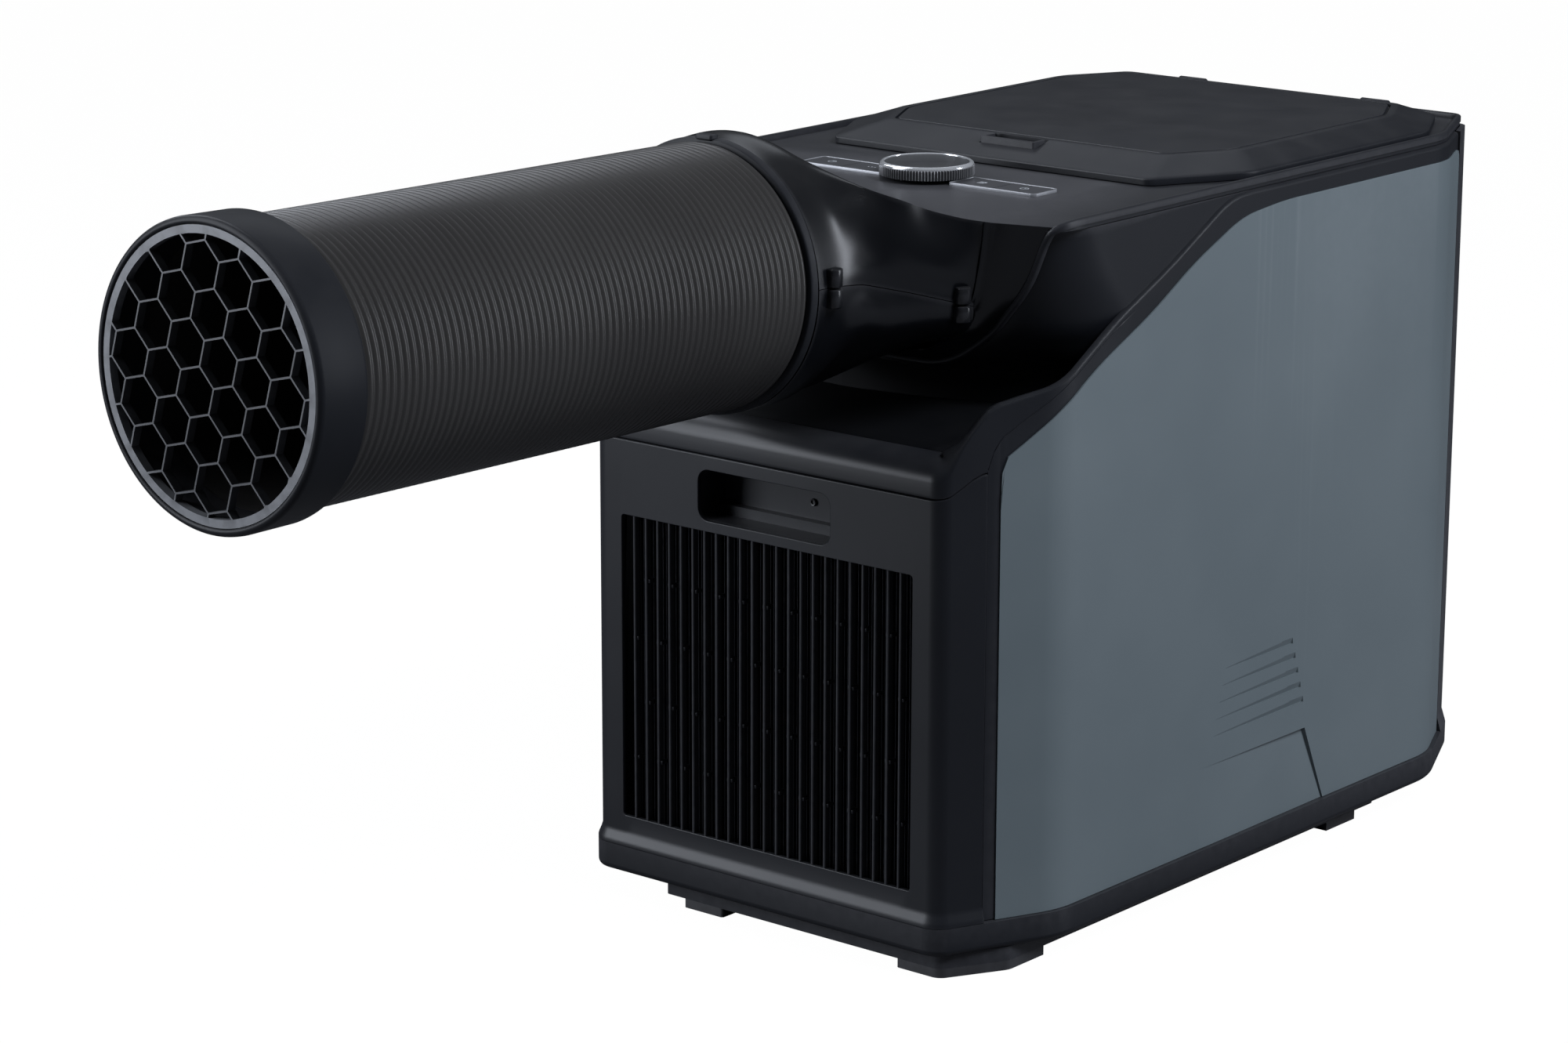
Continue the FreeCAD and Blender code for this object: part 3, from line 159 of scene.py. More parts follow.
def spline(points: Sequence[Vector], count: int) -> list[Vector]:
    """Points evenly spread along a smooth curve through the given points.

    Args:
        points: Points that the curve passes.
        count: Number of points returned, ends included.

    Returns:
        The points of the curve.
    """
    pts = [points[0] * 2 - points[1], *points, points[-1] * 2 - points[-2]]
    fine: list[Vector] = []
    for i in range(1, len(pts) - 2):
        p0, p1, p2, p3 = pts[i - 1], pts[i], pts[i + 1], pts[i + 2]
        for k in range(16):
            t = k / 16
            fine.append(0.5 * ((2 * p1) + (p2 - p0) * t + (2 * p0 - 5 * p1 + 4 * p2 - p3) * t * t
                               + (3 * p1 - p0 - 3 * p2 + p3) * t * t * t))
    fine.append(pts[-2].copy())
    return respace(fine, count)


def respace(line: Sequence[Vector], count: int) -> list[Vector]:
    """Spreads points evenly along a line of points.

    Args:
        line: The line.
        count: Number of points returned, ends included.

    Returns:
        The evenly spaced points.
    """
    reach = [0.0]
    for a, b in zip(line, line[1:]):
        reach.append(reach[-1] + (b - a).length)
    out: list[Vector] = []
    j = 0
    for i in range(count):
        want = reach[-1] * i / (count - 1)
        while j < len(line) - 2 and reach[j + 1] < want:
            j += 1
        span = reach[j + 1] - reach[j]
        t = (want - reach[j]) / span if span > 0 else 0.0
        out.append(line[j].lerp(line[j + 1], min(max(t, 0.0), 1.0)))
    return out


def rounded_outline(corners: Sequence[Point2], radii: Sequence[float],
                    steps: int = 6) -> list[Point2]:
    """Closed outline with a tangent arc at each corner.

    Args:
        corners: Corner points in order.
        radii: Arc radius at each corner.
        steps: Points on each arc, less one.

    Returns:
        The outline's points; the same number for any radii.
    """
    out: list[Point2] = []
    n = len(corners)
    for i in range(n):
        here = Vector(corners[i])
        back = (Vector(corners[i - 1]) - here).normalized()
        ahead = (Vector(corners[(i + 1) % n]) - here).normalized()
        half = back.angle(ahead) / 2
        reach = radii[i] / math.tan(half)
        centre = here + (back + ahead).normalized() * (radii[i] / math.sin(half))
        a = here + back * reach - centre
        b = here + ahead * reach - centre
        turn = a.angle_signed(b) if radii[i] > 0 else 0.0
        for k in range(steps + 1):
            angle = -turn * k / steps
            c, s = math.cos(angle), math.sin(angle)
            p = centre + Vector((a.x * c - a.y * s, a.x * s + a.y * c))
            out.append((p.x, p.y))
    return out


# ---------------------------------------------------------------- place and camera
@dataclass(frozen=True)
class Place:
    """Turns cabinet millimetres into the metres of the shared frame."""
    face_y: float

    def at(self, x: float, y: float, z: float) -> Vector:
        """A point of the shared frame."""
        return Vector((x * MM, y * MM + self.face_y, z * MM))


@dataclass(frozen=True)
class Plan:
    """The cabinet's plan outline: an octagon with rounded corners, walked along its right half."""
    half_width: float = 159.5
    depth: float = 538.0
    face_half: float = 127.0
    facet_run: float = 72.0
    corner: float = 12.0
    bend: float = 60.0
    spacing: float = 6.0

    def walk(self) -> list[Row]:
        """Dense points from the middle of the front to the middle of the rear.

        Returns:
            Rows of x, y and the outward normal's x, y.
        """
        corners = [(0.0, 0.0), (self.face_half, 0.0), (self.half_width, self.facet_run),
                   (self.half_width, self.depth - self.facet_run), (self.face_half, self.depth),
                   (0.0, self.depth)]
        radii = [0.0, self.corner, self.bend, self.bend, self.corner, 0.0]
        rows: list[Row] = []
        last = Vector(corners[0])
        for i in range(1, len(corners)):
            here = Vector(corners[i])
            into = (here - Vector(corners[i - 1])).normalized()
            if i < len(corners) - 1:
                out = (Vector(corners[i + 1]) - here).normalized()
                half = (-into).angle(out) / 2
                reach = radii[i] / math.tan(half)
            else:
                out, half, reach = into, math.pi / 2, 0.0
            stop = here - into * reach
            count = max(2, int((stop - last).length / self.spacing))
            for k in range(count + 1):
                p = last.lerp(stop, k / count)
                rows.append((p.x, p.y, into.y, -into.x))
            if reach > 0:
                centre = stop + Vector((-into.y, into.x)) * radii[i]
                turn = math.pi - 2 * half
                steps = 10
                for k in range(1, steps + 1):
                    a = turn * k / steps
                    n = Vector((into.y, -into.x))
                    c, s = math.cos(a), math.sin(a)
                    n = Vector((n.x * c - n.y * s, n.x * s + n.y * c))
                    p = centre + n * radii[i]
                    rows.append((p.x, p.y, n.x, n.y))
                last = here + out * reach
        return rows

    def span(self, y0: float, y1: float,
             extra: Sequence[float] = ()) -> list[Row]:
        """The part of the right half between two depths, with exact ends.

        Args:
            y0: Start depth; 0 keeps the flat front from the middle.
            y1: End depth.
            extra: More depths at which a point is wanted.

        Returns:
            Rows of x, y and the outward normal's x, y.
        """
        rows = self.walk()
        wanted = [y for y in (y0, y1, *extra) if 0 < y < self.depth]
        out: list[Row] = []
        for a, b in zip(rows, rows[1:]):
            out.append(a)
            for y in sorted(wanted):
                if a[1] < y < b[1]:
                    t = (y - a[1]) / (b[1] - a[1])
                    out.append(tuple(blend(p, q, t) for p, q in zip(a, b)))
        out.append(rows[-1])
        kept = [r for r in out if y0 - 1e-6 <= r[1] <= y1 + 1e-6]
        clean = [kept[0]]
        for r in kept[1:]:
            if math.hypot(r[0] - clean[-1][0], r[1] - clean[-1][1]) > 1e-4:
                clean.append(r)
        return clean


@dataclass(frozen=True)
class SoftLight:
    """One rectangular light: where it hangs, where it points, its size in metres, its watts.

    With gloss off, shiny surfaces do not mirror it.
    """
    name: str
    at: Point3
    aim: Point3
    width: float
    height: float
    watts: float
    gloss: bool = True


@dataclass(frozen=True)
class Studio:
    """Camera, soft lights, pale floor and surroundings."""
    place: Place
    eye: Point3 = (1581.42, -1882.88, 875.77)
    right: Point3 = (0.76848, 0.63987, 0.00220)
    up: Point3 = (-0.16012, 0.18897, 0.96884)
    lens: float = 102.55
    light_colour: Colour = (0.91, 0.96, 1.05)
    lights: tuple[SoftLight, ...] = (
        SoftLight("key_softbox", (-1500, -1900, 1750), (0, 100, 250), 1.5, 1.3, 44.0),
        SoftLight("front_fill", (-1900, -2300, 620), (0, 0, 250), 1.5, 0.9, 40.0),
        SoftLight("side_softbox", (2050, 350, 2450), (160, 250, 220), 1.2, 1.2, 120.0, False),
        SoftLight("side_strip", (2480, 1980, 1050), (160, 300, 250), 0.42, 2.1, 26.0),
        SoftLight("top_softbox", (-1370, 1880, 2060), (0, 250, 400), 1.6, 0.9, 3.5),
        SoftLight("duct_strip", (-1300, 100, 1700), (0, -250, 400), 0.4, 1.8, 12.0))
    floor_half: float = 14.0
    floor_glow: float = 1.125
    glow_share: float = 0.88
    ambient: float = 0.03

    def build(self) -> None:
        """Sets up the camera, the lights, the floor and the world."""
        scene = bpy.context.scene
        scene.view_settings.view_transform = "Standard"
        data = bpy.data.cameras.new("camera")
        data.lens = self.lens
        data.sensor_width = 36.0
        data.clip_end = 40.0
        camera = bpy.data.objects.new("camera", data)
        scene.collection.objects.link(camera)
        x, y = Vector(self.right), Vector(self.up)
        z = x.cross(y)
        turn = Matrix((x, y, z)).transposed()
        camera.matrix_world = Matrix.Translation(self.place.at(*self.eye)) @ turn.to_4x4()
        scene.camera = camera
        for light in self.lights:
            self.hang(light)
        self.floor()
        self.world()

    def hang(self, light: SoftLight) -> None:
        """Hangs one light and points it.

        Args:
            light: The light's place and size.
        """
        data = bpy.data.lights.new(light.name, "AREA")
        data.shape = "RECTANGLE"
        data.size, data.size_y, data.energy = light.width, light.height, light.watts
        data.color = self.light_colour
        lamp = bpy.data.objects.new(light.name, data)
        lamp.visible_glossy = light.gloss
        bpy.context.scene.collection.objects.link(lamp)
        start, end = self.place.at(*light.at), self.place.at(*light.aim)
        lamp.rotation_euler = (end - start).to_track_quat("-Z", "Y").to_euler()
        lamp.location = start

    def floor(self) -> None:
        """A plain pale floor."""
        mesh = bpy.data.meshes.new("floor")
        s = self.floor_half
        mesh.from_pydata([(-s, -s, 0), (s, -s, 0), (s, s, 0), (-s, s, 0)], [], [(0, 1, 2, 3)])
        floor = bpy.data.objects.new("floor", mesh)
        bpy.context.scene.collection.objects.link(floor)
        material = bpy.data.materials.new("pale_floor")
        material.use_nodes = True
        tree = material.node_tree
        shader = tree.nodes["Principled BSDF"]
        shader.inputs["Base Color"].default_value = (0.10, 0.10, 0.105, 1)
        shader.inputs["Roughness"].default_value = 0.9
        shader.inputs["Specular IOR Level"].default_value = 0.1
        glow = new_node(tree, "Emission", Strength=self.floor_glow)
        path = new_node(tree, "LightPath")
        share = math_node(tree, "MULTIPLY", path.outputs["Is Camera Ray"], self.glow_share)
        self.to_camera(tree, share, shader, glow, "Material Output")
        mesh.materials.append(material)

    def world(self) -> None:
        """White surroundings that light the object only faintly."""
        world = bpy.data.worlds.new("studio")
        bpy.context.scene.world = world
        world.use_nodes = True
        tree = world.node_tree
        back = tree.nodes["Background"]
        back.inputs["Color"].default_value = (0.86, 0.93, 1.0, 1)
        back.inputs["Strength"].default_value = self.ambient
        white = new_node(tree, "Background", Color=(1, 1, 1, 1))
        seen = new_node(tree, "LightPath").outputs["Is Camera Ray"]
        self.to_camera(tree, seen, back, white, "World Output")

    @staticmethod
    def to_camera(tree: bpy.types.NodeTree, share: Socket, plain: bpy.types.Node,
                  bright: bpy.types.Node, output: str) -> None:
        """Sends one shader to the camera and another to everything else.

        Args:
            tree: Tree that holds the shaders.
            share: How much of the bright shader shows.
            plain: Shader that lights the object.
            bright: Shader that the camera sees.
            output: Name of the tree's output node.
        """
        mix = new_node(tree, "MixShader")
        tree.links.new(share, mix.inputs["Fac"])
        tree.links.new(plain.outputs[0], mix.inputs[1])
        tree.links.new(bright.outputs[0], mix.inputs[2])
        tree.links.new(mix.outputs[0], tree.nodes[output].inputs["Surface"])


# ---------------------------------------------------------------- shared surface effects
def new_node(tree: bpy.types.NodeTree, kind: str, **values: object) -> bpy.types.Node:
    """A new shader node with some of its inputs set.

    Args:
        tree: Tree that gets the node.
        kind: Blender's name of the node without "ShaderNode".
        **values: Input values by input name.

    Returns:
        The node.
    """
    node = tree.nodes.new("ShaderNode" + kind)
    for name, value in values.items():
        node.inputs[name].default_value = value
    return node


def new_group(name: str, inputs: Sequence[tuple[str, float]],
              outputs: Sequence[tuple[str, str]]) -> Tree:
    """An empty shader group with number inputs.

    Args:
        name: Group name.
        inputs: Input names with their default values.
        outputs: Output names with their socket types.

    Returns:
        The group tree, holding its input and output nodes.
    """
    tree = bpy.data.node_groups.new(name, "ShaderNodeTree")
    for label, value in inputs:
        socket = tree.interface.new_socket(label, in_out="INPUT", socket_type="NodeSocketFloat")
        socket.default_value = value
    for label, kind in outputs:
        tree.interface.new_socket(label, in_out="OUTPUT", socket_type=kind)
    tree.nodes.new("NodeGroupInput")
    tree.nodes.new("NodeGroupOutput")
    return tree


def scaled_noise(tree: Tree, scale: Socket, detail: float,
                 stretch: Point3 = (1.0, 1.0, 1.0)) -> Socket:
    """Noise over the object's own coordinates.

    Args:
        tree: Tree that gets the nodes.
        scale: Socket that gives the scale.
        detail: Octaves of the noise.
        stretch: Factor on each axis.

    Returns:
        The noise value's socket.
    """
    where = new_node(tree, "TexCoord")
    mapping = new_node(tree, "Mapping", Scale=stretch)
    noise = new_node(tree, "TexNoise", Detail=detail)
    tree.links.new(where.outputs["Object"], mapping.inputs["Vector"])
    tree.links.new(mapping.outputs["Vector"], noise.inputs["Vector"])
    tree.links.new(scale, noise.inputs["Scale"])
    return noise.outputs["Fac"]


def math_node(tree: Tree, operation: str, a: object,
              b: object = 0.0) -> Socket:
    """One math node.

    Args:
        tree: Tree that gets the node.
        operation: Blender's name of the operation.
        a: First socket or number.
        b: Second socket or number.

    Returns:
        The result's socket.
    """
    node = new_node(tree, "Math")
    node.operation = operation
    for socket, value in zip(node.inputs, (a, b)):
        if isinstance(value, Socket):
            tree.links.new(value, socket)
        else:
            socket.default_value = value
    return node.outputs[0]


def make_moulded_grain() -> Tree:
    """Fine spark-eroded texture of moulded plastic.

    Returns:
        The group, which gives a height and a slow cloud mask.
    """
    tree = new_group("moulded_grain", (("Grain Scale", 1400.0), ("Cloud Scale", 9.0)),
                     (("Height", "NodeSocketFloat"), ("Cloud", "NodeSocketFloat")))
    gin, gout = tree.nodes["Group Input"], tree.nodes["Group Output"]
    fine = scaled_noise(tree, gin.outputs["Grain Scale"], 3.0)
    pits = new_node(tree, "TexVoronoi")
    where = new_node(tree, "TexCoord")
    tree.links.new(where.outputs["Object"], pits.inputs["Vector"])
    tree.links.new(gin.outputs["Grain Scale"], pits.inputs["Scale"])
    height = math_node(tree, "ADD", math_node(tree, "MULTIPLY", fine, 0.6),
                       math_node(tree, "MULTIPLY", pits.outputs["Distance"], 0.5))
    cloud = scaled_noise(tree, gin.outputs["Cloud Scale"], 4.0)
    tree.links.new(height, gout.inputs["Height"])
    tree.links.new(cloud, gout.inputs["Cloud"])
    return tree


def make_edge_wear_and_highlight() -> Tree:
    """Rubbed outer edges, broken up by noise; the same mask paints the honeycomb's web edges and
    the knob's knurl crests pale as painted highlights.

    Returns:
        The group, which gives a mask.
    """
    tree = new_group("edge_wear_and_highlight", (("Reach", 0.53), ("Break", 160.0)),
                     (("Mask", "NodeSocketFloat"),))
    gin, gout = tree.nodes["Group Input"], tree.nodes["Group Output"]
    shape = new_node(tree, "NewGeometry")
    over = math_node(tree, "SUBTRACT", shape.outputs["Pointiness"], gin.outputs["Reach"])
    mask = math_node(tree, "MULTIPLY", over, 14.0)
    rough = scaled_noise(tree, gin.outputs["Break"], 3.0)
    mask = math_node(tree, "MULTIPLY", mask, math_node(tree, "ADD", rough, 0.2))
    clamp = new_node(tree, "Clamp")
    tree.links.new(mask, clamp.inputs["Value"])
    tree.links.new(clamp.outputs[0], gout.inputs["Mask"])
    return tree


def make_dust_film() -> Tree:
    """Thin dust that settles on faces that look up.

    Returns:
        The group, which gives a mask.
    """
    tree = new_group("dust_film", (("Patch Scale", 38.0), ("Amount", 0.3)),
                     (("Mask", "NodeSocketFloat"),))
    gin, gout = tree.nodes["Group Input"], tree.nodes["Group Output"]
    shape = new_node(tree, "NewGeometry")
    split = new_node(tree, "SeparateXYZ")
    tree.links.new(shape.outputs["Normal"], split.inputs[0])
    up = math_node(tree, "MAXIMUM", split.outputs["Z"], 0.0)
    patch = scaled_noise(tree, gin.outputs["Patch Scale"], 5.0)
    mask = math_node(tree, "MULTIPLY", math_node(tree, "MULTIPLY", up, patch),
                     gin.outputs["Amount"])
    tree.links.new(mask, gout.inputs["Mask"])
    return tree


def make_brushing() -> Tree:
    """Fine turned lines of brushed metal, circling an upright axis.

    Returns:
        The group, which gives a height and a streak mask.
    """
    tree = new_group("brushing", (("Line Scale", 2600.0), ("Centre X", 0.0), ("Centre Y", 0.0)),
                     (("Height", "NodeSocketFloat"), ("Streak", "NodeSocketFloat")))
    gin, gout = tree.nodes["Group Input"], tree.nodes["Group Output"]
    where = new_node(tree, "TexCoord")
    split = new_node(tree, "SeparateXYZ")
    tree.links.new(where.outputs["Object"], split.inputs[0])
    dx = math_node(tree, "SUBTRACT", split.outputs["X"], gin.outputs["Centre X"])
    dy = math_node(tree, "SUBTRACT", split.outputs["Y"], gin.outputs["Centre Y"])
    radius = math_node(tree, "SQRT", math_node(tree, "ADD", math_node(tree, "MULTIPLY", dx, dx),
                                               math_node(tree, "MULTIPLY", dy, dy)))
    join = new_node(tree, "CombineXYZ")
    tree.links.new(radius, join.inputs["X"])
    tree.links.new(split.outputs["Z"], join.inputs["Y"])
    noise = new_node(tree, "TexNoise", Detail=2.0)
    tree.links.new(join.outputs[0], noise.inputs["Vector"])
    tree.links.new(gin.outputs["Line Scale"], noise.inputs["Scale"])
    tree.links.new(noise.outputs["Fac"], gout.inputs["Height"])
    tree.links.new(noise.outputs["Fac"], gout.inputs["Streak"])
    return tree


@dataclass
class Effects:
    """The shared surface effects, each built once."""
    grain: Tree = field(default_factory=make_moulded_grain)
    wear_and_highlight: Tree = field(default_factory=make_edge_wear_and_highlight)
    dust: Tree = field(default_factory=make_dust_film)
    brushing: Tree = field(default_factory=make_brushing)

    def add(self, tree: Tree, group: Tree,
            values: dict[str, float]) -> bpy.types.ShaderNode:
        """Places a group in a material.

        Args:
            tree: The material's tree.
            group: The group placed.
            values: Input values that differ from the defaults.

        Returns:
            The group node.
        """
        node = new_node(tree, "Group")
        node.node_tree = group
        for name, value in values.items():
            node.inputs[name].default_value = value
        return node


@dataclass(frozen=True)
class Finish:
    """One surface finish and how it varies over a part."""
    slot: str
    colour: Colour
    tint: Colour
    roughness: float
    spread: float = 0.06
    metallic: float = 0.0
    grain_scale: float = 1400.0
    grain_depth: float = 0.00002
    # Edge marks: rubbed wear on most finishes; painted highlights on the honeycomb and the knob
    # grip.
    wear_and_highlight_colour: Colour = (0.05, 0.05, 0.055)
    wear_and_highlight: float = 0.5
    dust: float = 0.10
    specular: float = 0.5
    coat: float = 0.0
    brushed: bool = False

    def material(self, name: str, effects: Effects,
                 centre: Point2 = (0.0, 0.0)) -> bpy.types.Material:
        """Builds the material.

        Args:
            name: Material name.
            effects: Shared surface effects.
            centre: Axis that brushed lines circle, in frame metres.

        Returns:
            The material.
        """
        material = bpy.data.materials.new(name)
        material.use_nodes = True
        tree = material.node_tree
        shader = tree.nodes["Principled BSDF"]
        shader.inputs["Metallic"].default_value = self.metallic
        shader.inputs["Specular IOR Level"].default_value = self.specular
        shader.inputs["Coat Weight"].default_value = self.coat
        shader.inputs["Coat Roughness"].default_value = COAT_ROUGHNESS
        grain = effects.add(tree, effects.grain, {"Grain Scale": self.grain_scale})
        edge_marks = effects.add(tree, effects.wear_and_highlight, {})
        dusty = effects.add(tree, effects.dust, {"Amount": self.dust})
        base = self.mix(tree, grain.outputs["Cloud"], self.colour, self.tint)
        # Edge marks from the edge mask: rubbed wear, and painted highlights where a finish lets
        # them stand for lit edges.
        edge_share = math_node(tree, "MULTIPLY", edge_marks.outputs["Mask"], self.wear_and_highlight)
        base = self.over(tree, edge_share, base, self.wear_and_highlight_colour)
        base = self.over(tree, dusty.outputs["Mask"], base, DUST_COLOUR)
        tree.links.new(base, shader.inputs["Base Color"])
        height = grain.outputs["Height"]
        vary = grain.outputs["Cloud"]
        if self.brushed:
            lines = effects.add(tree, effects.brushing,
                                {"Centre X": centre[0], "Centre Y": centre[1]})
            height, vary = lines.outputs["Height"], lines.outputs["Streak"]
        swing = math_node(tree, "MULTIPLY", math_node(tree, "SUBTRACT", vary, 0.5),
                          2 * self.spread)
        rough = math_node(tree, "ADD", swing, self.roughness)
        rough = math_node(tree, "ADD", rough,
                          math_node(tree, "MULTIPLY", dusty.outputs["Mask"], DUST_DULLING))
        tree.links.new(rough, shader.inputs["Roughness"])
        bump = new_node(tree, "Bump", Strength=BUMP_STRENGTH, Distance=self.grain_depth)
        tree.links.new(height, bump.inputs["Height"])
        tree.links.new(bump.outputs["Normal"], shader.inputs["Normal"])
        return material

    @staticmethod
    def mix(tree: Tree, mask: Socket, a: Colour,
            b: Colour) -> Socket:
        """Mixes two colours by a mask.

        Args:
            tree: The material's tree.
            mask: Mask socket.
            a: Colour where the mask is low.
            b: Colour where the mask is high.

        Returns:
            The colour's socket.
        """
        ramp = new_node(tree, "ValToRGB")
        for stop, position, colour in zip(ramp.color_ramp.elements, (0.3, 0.7), (a, b)):
            stop.position, stop.color = position, (*colour, 1)
        tree.links.new(mask, ramp.inputs["Fac"])
        return ramp.outputs["Color"]

    @staticmethod
    def over(tree: Tree, mask: Socket,
             under: Socket, colour: Colour) -> Socket:
        """Lays a colour over another where a mask is high.

        Args:
            tree: The material's tree.
            mask: Mask socket.
            under: Colour socket below.
            colour: Colour laid over it.

        Returns:
            The colour's socket.
        """
        mix = new_node(tree, "Mix")
        mix.data_type = "RGBA"
        mix.inputs[7].default_value = (*colour, 1)
        tree.links.new(mask, mix.inputs[0])
        tree.links.new(under, mix.inputs[6])
        return mix.outputs[2]


FINISHES: dict[str, Finish] = {
    "black_shell": Finish("black_shell", (0.0064, 0.0070, 0.0090), (0.0080, 0.0088, 0.0112), 0.40,
                          specular=0.32, grain_depth=0.000016),
    "black_gloss": Finish("black_gloss", (0.0024, 0.0027, 0.0036), (0.0032, 0.0036, 0.0046), 0.24,
                          spread=0.03, grain_depth=0.000006),
    "grey_panel": Finish("grey_panel", (0.082, 0.101, 0.110), (0.094, 0.114, 0.123), 0.47,
                         wear_and_highlight_colour=(0.16, 0.18, 0.19), wear_and_highlight=0.3, grain_depth=0.000022,
                         grain_scale=1700.0),
    "graphite_hose": Finish("graphite_hose", (0.040, 0.038, 0.037), (0.052, 0.050, 0.048), 0.36,
                            metallic=0.45, wear_and_highlight_colour=(0.10, 0.096, 0.09), wear_and_highlight=0.5,
                            grain_depth=0.00001),
    "rubber": Finish("rubber", (0.010, 0.010, 0.011), (0.016, 0.016, 0.017), 0.72,
                     grain_depth=0.00004, dust=0.3),
    "bright_ring": Finish("bright_ring", (0.80, 0.81, 0.83), (0.86, 0.87, 0.89), 0.14,
                          spread=0.04, metallic=0.75, grain_depth=0.000002, wear_and_highlight=0.0,
                          brushed=True),
    "brushed_cap": Finish("brushed_cap", (0.09, 0.093, 0.10), (0.13, 0.133, 0.14), 0.34,
                          spread=0.10, metallic=0.8, grain_depth=0.000012, brushed=True),
    "silver_line": Finish("silver_line", (0.24, 0.245, 0.26), (0.31, 0.315, 0.33), 0.34,
                          metallic=0.45, grain_depth=0.000006),
    "key_black": Finish("key_black", (0.010, 0.011, 0.013), (0.014, 0.015, 0.018), 0.34,
                        grain_depth=0.000008),
    "fins": Finish("fins", (0.020, 0.024, 0.032), (0.034, 0.040, 0.052), 0.38, metallic=0.7,
                   grain_depth=0.00002),
    "copper": Finish("copper", (0.42, 0.17, 0.08), (0.30, 0.12, 0.06), 0.34, metallic=1.0),
    "black_steel": Finish("black_steel", (0.012, 0.012, 0.013), (0.020, 0.020, 0.021), 0.42,
                          metallic=0.4),
    "white_plastic": Finish("white_plastic", (0.58, 0.58, 0.56), (0.66, 0.66, 0.64), 0.46,
                            wear_and_highlight_colour=(0.6, 0.6, 0.58)),
    "steel": Finish("steel", (0.44, 0.44, 0.45), (0.52, 0.52, 0.53), 0.30, metallic=1.0),
    "board": Finish("board", (0.010, 0.055, 0.028), (0.014, 0.070, 0.036), 0.45,
                    wear_and_highlight_colour=(0.03, 0.12, 0.07)),
    "filter_mesh": Finish("filter_mesh", (0.030, 0.034, 0.040), (0.045, 0.050, 0.058), 0.75,
                          grain_scale=700.0, grain_depth=0.0002),
    # Near-black with little sheen for the hollow in front of the head and the latch pocket: painted
    # shade where these lie in shadow.
    "painted_shade_black": Finish("black_shell", (0.0022, 0.0024, 0.0030), (0.0030, 0.0033, 0.0040), 0.55,
                         specular=0.08, grain_depth=0.000016, dust=0.02),
    "ring_black": Finish("black_shell", (0.0062, 0.0068, 0.0086), (0.0076, 0.0084, 0.0105), 0.46,
                         specular=0.18, grain_depth=0.000016),
    # Dark knurled skirt whose ridge crests the edge mask paints near-white: painted glints on the
    # ridges.
    "grip_metal": Finish("bright_ring", (0.030, 0.031, 0.034), (0.05, 0.051, 0.054), 0.26,
                         spread=0.05, metallic=0.5, grain_depth=0.000004,
                         wear_and_highlight_colour=(0.8, 0.8, 0.82)),
    # Honeycomb: a lighter black, and pale grey edges through the edge mask that paint the lit front
    # edges of its webs as painted highlights.
    "comb_painted_edge_light": Finish("black_shell", (0.020, 0.021, 0.024), (0.026, 0.027, 0.030), 0.36,
                         wear_and_highlight_colour=(0.16, 0.165, 0.175), wear_and_highlight=1.0, grain_depth=0.000006),
    "mark_print": Finish("silver_line", (0.42, 0.44, 0.46), (0.50, 0.52, 0.54), 0.50),
}


